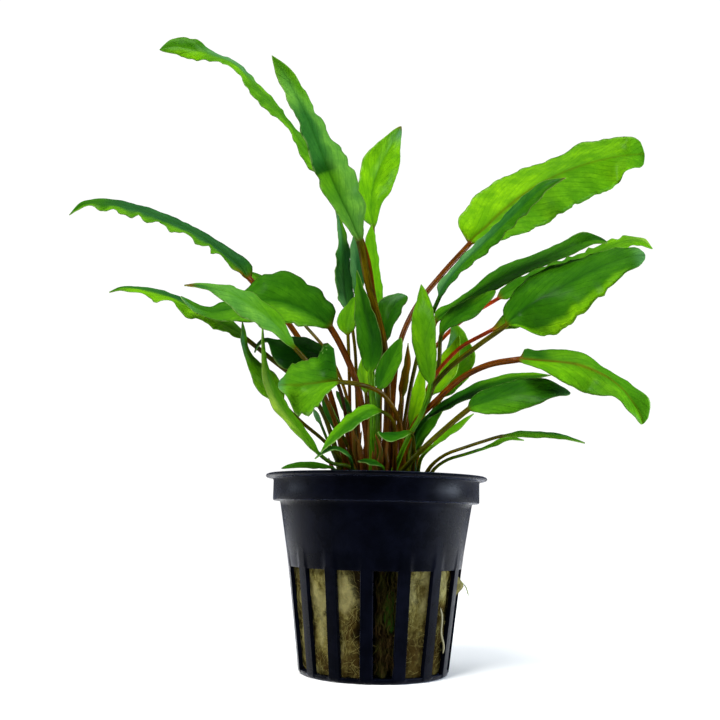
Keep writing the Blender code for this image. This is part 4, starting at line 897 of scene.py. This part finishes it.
# The leaf's finish: green tissue under a satin skin. Side veins slant from the midrib to the tip with a fine
# net between them, the tissue swells a little between the veins, and the underside is paler and duller.
VEIN_SPACING, RUNG_SPACING = 4.4, 1.15
leaf_skin = principled("leaf_skin", (0.07, 0.28, 0.02), 0.4, MATT)
tree = leaf_skin.node_tree
where = add(tree, "TexCoord").outputs["Object"]


def told(name, socket="Fac"):
    """What the skin's mesh says of a place: see leaf_shape."""
    return add(tree, "Attribute", attribute_name=name).outputs[socket]


def maths(how, a, b=0.0, c=0.0):
    return add(tree, "Math", {0: a, 1: b, 2: c}, operation=how).outputs[0]


def times(a, b):
    return maths("MULTIPLY", a, b)


def toned(colour, red, green, blue):
    """A colour multiplied by another."""
    return mixed(tree, 1.0, colour, (red, green, blue, 1), "MULTIPLY")


def stripes(over, spacing, from_middle):
    """Lines across a value, so far apart. They fade out from_middle of the way from their neighbours."""
    saw = maths("ABSOLUTE", maths("MULTIPLY_ADD", maths("FRACT", maths("DIVIDE", over, spacing)), 2, -1))
    return ranged(tree, saw, from_middle, 1.0, kind="SMOOTHSTEP")


def clouds(x, y, z, scale, detail):
    """Noise over three values of the leaf's own."""
    spot = add(tree, "CombineXYZ", {"X": x, "Y": y, "Z": z}).outputs[0]
    return add(tree, "TexNoise", {"Vector": spot, "Scale": scale, "Detail": detail}).outputs[0]


along, from_rib, side, stalk, under = (told(name) for name in ("along", "edge", "side", "stalk", "under"))
on_blade = maths("SUBTRACT", 1.0, stalk)
drift = add(tree, "TexNoise", {"Vector": where, "Scale": 260, "Detail": 2}).outputs[0]
wander = maths("MULTIPLY_ADD", drift, 1.6, -0.8)
slant = maths("MULTIPLY_ADD", from_rib, -2.4, maths("ADD", along, wander))
vein = stripes(slant, VEIN_SPACING, 0.84)
back_slant = maths("MULTIPLY_ADD", from_rib, 0.8, maths("ADD", along, times(wander, 1.4)))
rung = stripes(back_slant, RUNG_SPACING, 0.8)
net = times(maths("MAXIMUM", vein, times(rung, 0.2)), on_blade)
patches = mottled(tree, where, 210, 0.3, 0.7, 4)
cells = mottled(tree, where, 1100, 0.3, 0.7, 1)
tint = told("tint", "Color")
deeper = toned(tint, 0.64, 0.74, 0.70)
colour = mixed(tree, patches["Mask"], deeper, toned(tint, 1.4, 1.22, 1.0))
colour = mixed(tree, times(cells["Mask"], 0.25), colour, deeper)
colour = mixed(tree, times(net, 0.65), colour, toned(colour, 0.6, 0.72, 0.7))
fine = clouds(times(slant, 0.6), times(from_rib, 0.12), side, 3.0, 3)
fibre = ranged(tree, fine, 0.35, 0.65)
colour = mixed(tree, fibre, toned(colour, 0.9, 0.93, 0.86), toned(colour, 1.12, 1.07, 1.2))
height = add(tree, "SeparateXYZ", {0: where}).outputs["Z"]
bands = clouds(times(side, 2.2), times(along, 0.05), height, 1.7, 3)
colour = mixed(tree, times(ranged(tree, bands, 0.42, 0.62, kind="SMOOTHSTEP"), 0.55), colour, deeper)
beside_rib = ranged(tree, from_rib, 0, 2.2, 0.6, 0.0, "SMOOTHSTEP")
colour = mixed(tree, times(beside_rib, on_blade), colour, deeper)
# Painted highlight: a thin paler line along the margin, as light caught on the blade's rounded edge.
rim_highlight = ranged(tree, maths("SUBTRACT", told("width"), from_rib), 0.12, 0.3, 0.4, 0.0)
colour = mixed(tree, times(rim_highlight, on_blade), colour, (0.16, 0.22, 0.05, 1))
colour = mixed(tree, times(under, on_blade), colour, mixed(tree, 0.4, colour, (0.22, 0.38, 0.10, 1)))
streaks = ranged(tree, clouds(times(side, 3.0), times(along, 0.12), 0.0, 1.6, 4), 0.38, 0.62)
colour = mixed(tree, times(stalk, streaks), colour, toned(colour, 0.36, 0.3, 0.3))
relief = maths("MULTIPLY_ADD", patches["Height"], 2.0, maths("SUBTRACT", 1.0, times(vein, on_blade)))
relief = maths("MULTIPLY_ADD", fine, 0.5, relief)
joined(leaf_skin, {
    "Base Color": colour,
    "Roughness": maths("MULTIPLY_ADD", under, 0.14, ranged(tree, patches["Height"], 0.3, 0.7, 0.4, 0.6)),
    "Coat Weight": maths("MULTIPLY_ADD", stalk, 0.07, 0.035),
    "Coat Roughness": maths("MULTIPLY_ADD", stalk, -0.12, 0.3),
    "Normal": bumped(tree, relief, 0.45, 0.35 * MM)})

for seed, (name, look) in enumerate(LOOKS.items(), 1):
    rows = leaf_rows(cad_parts[name])
    leaf = finished(name + "_skin", leaf_shape(rows, seed, look), leaf_skin)
    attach(leaf, "root")
    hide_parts(name)
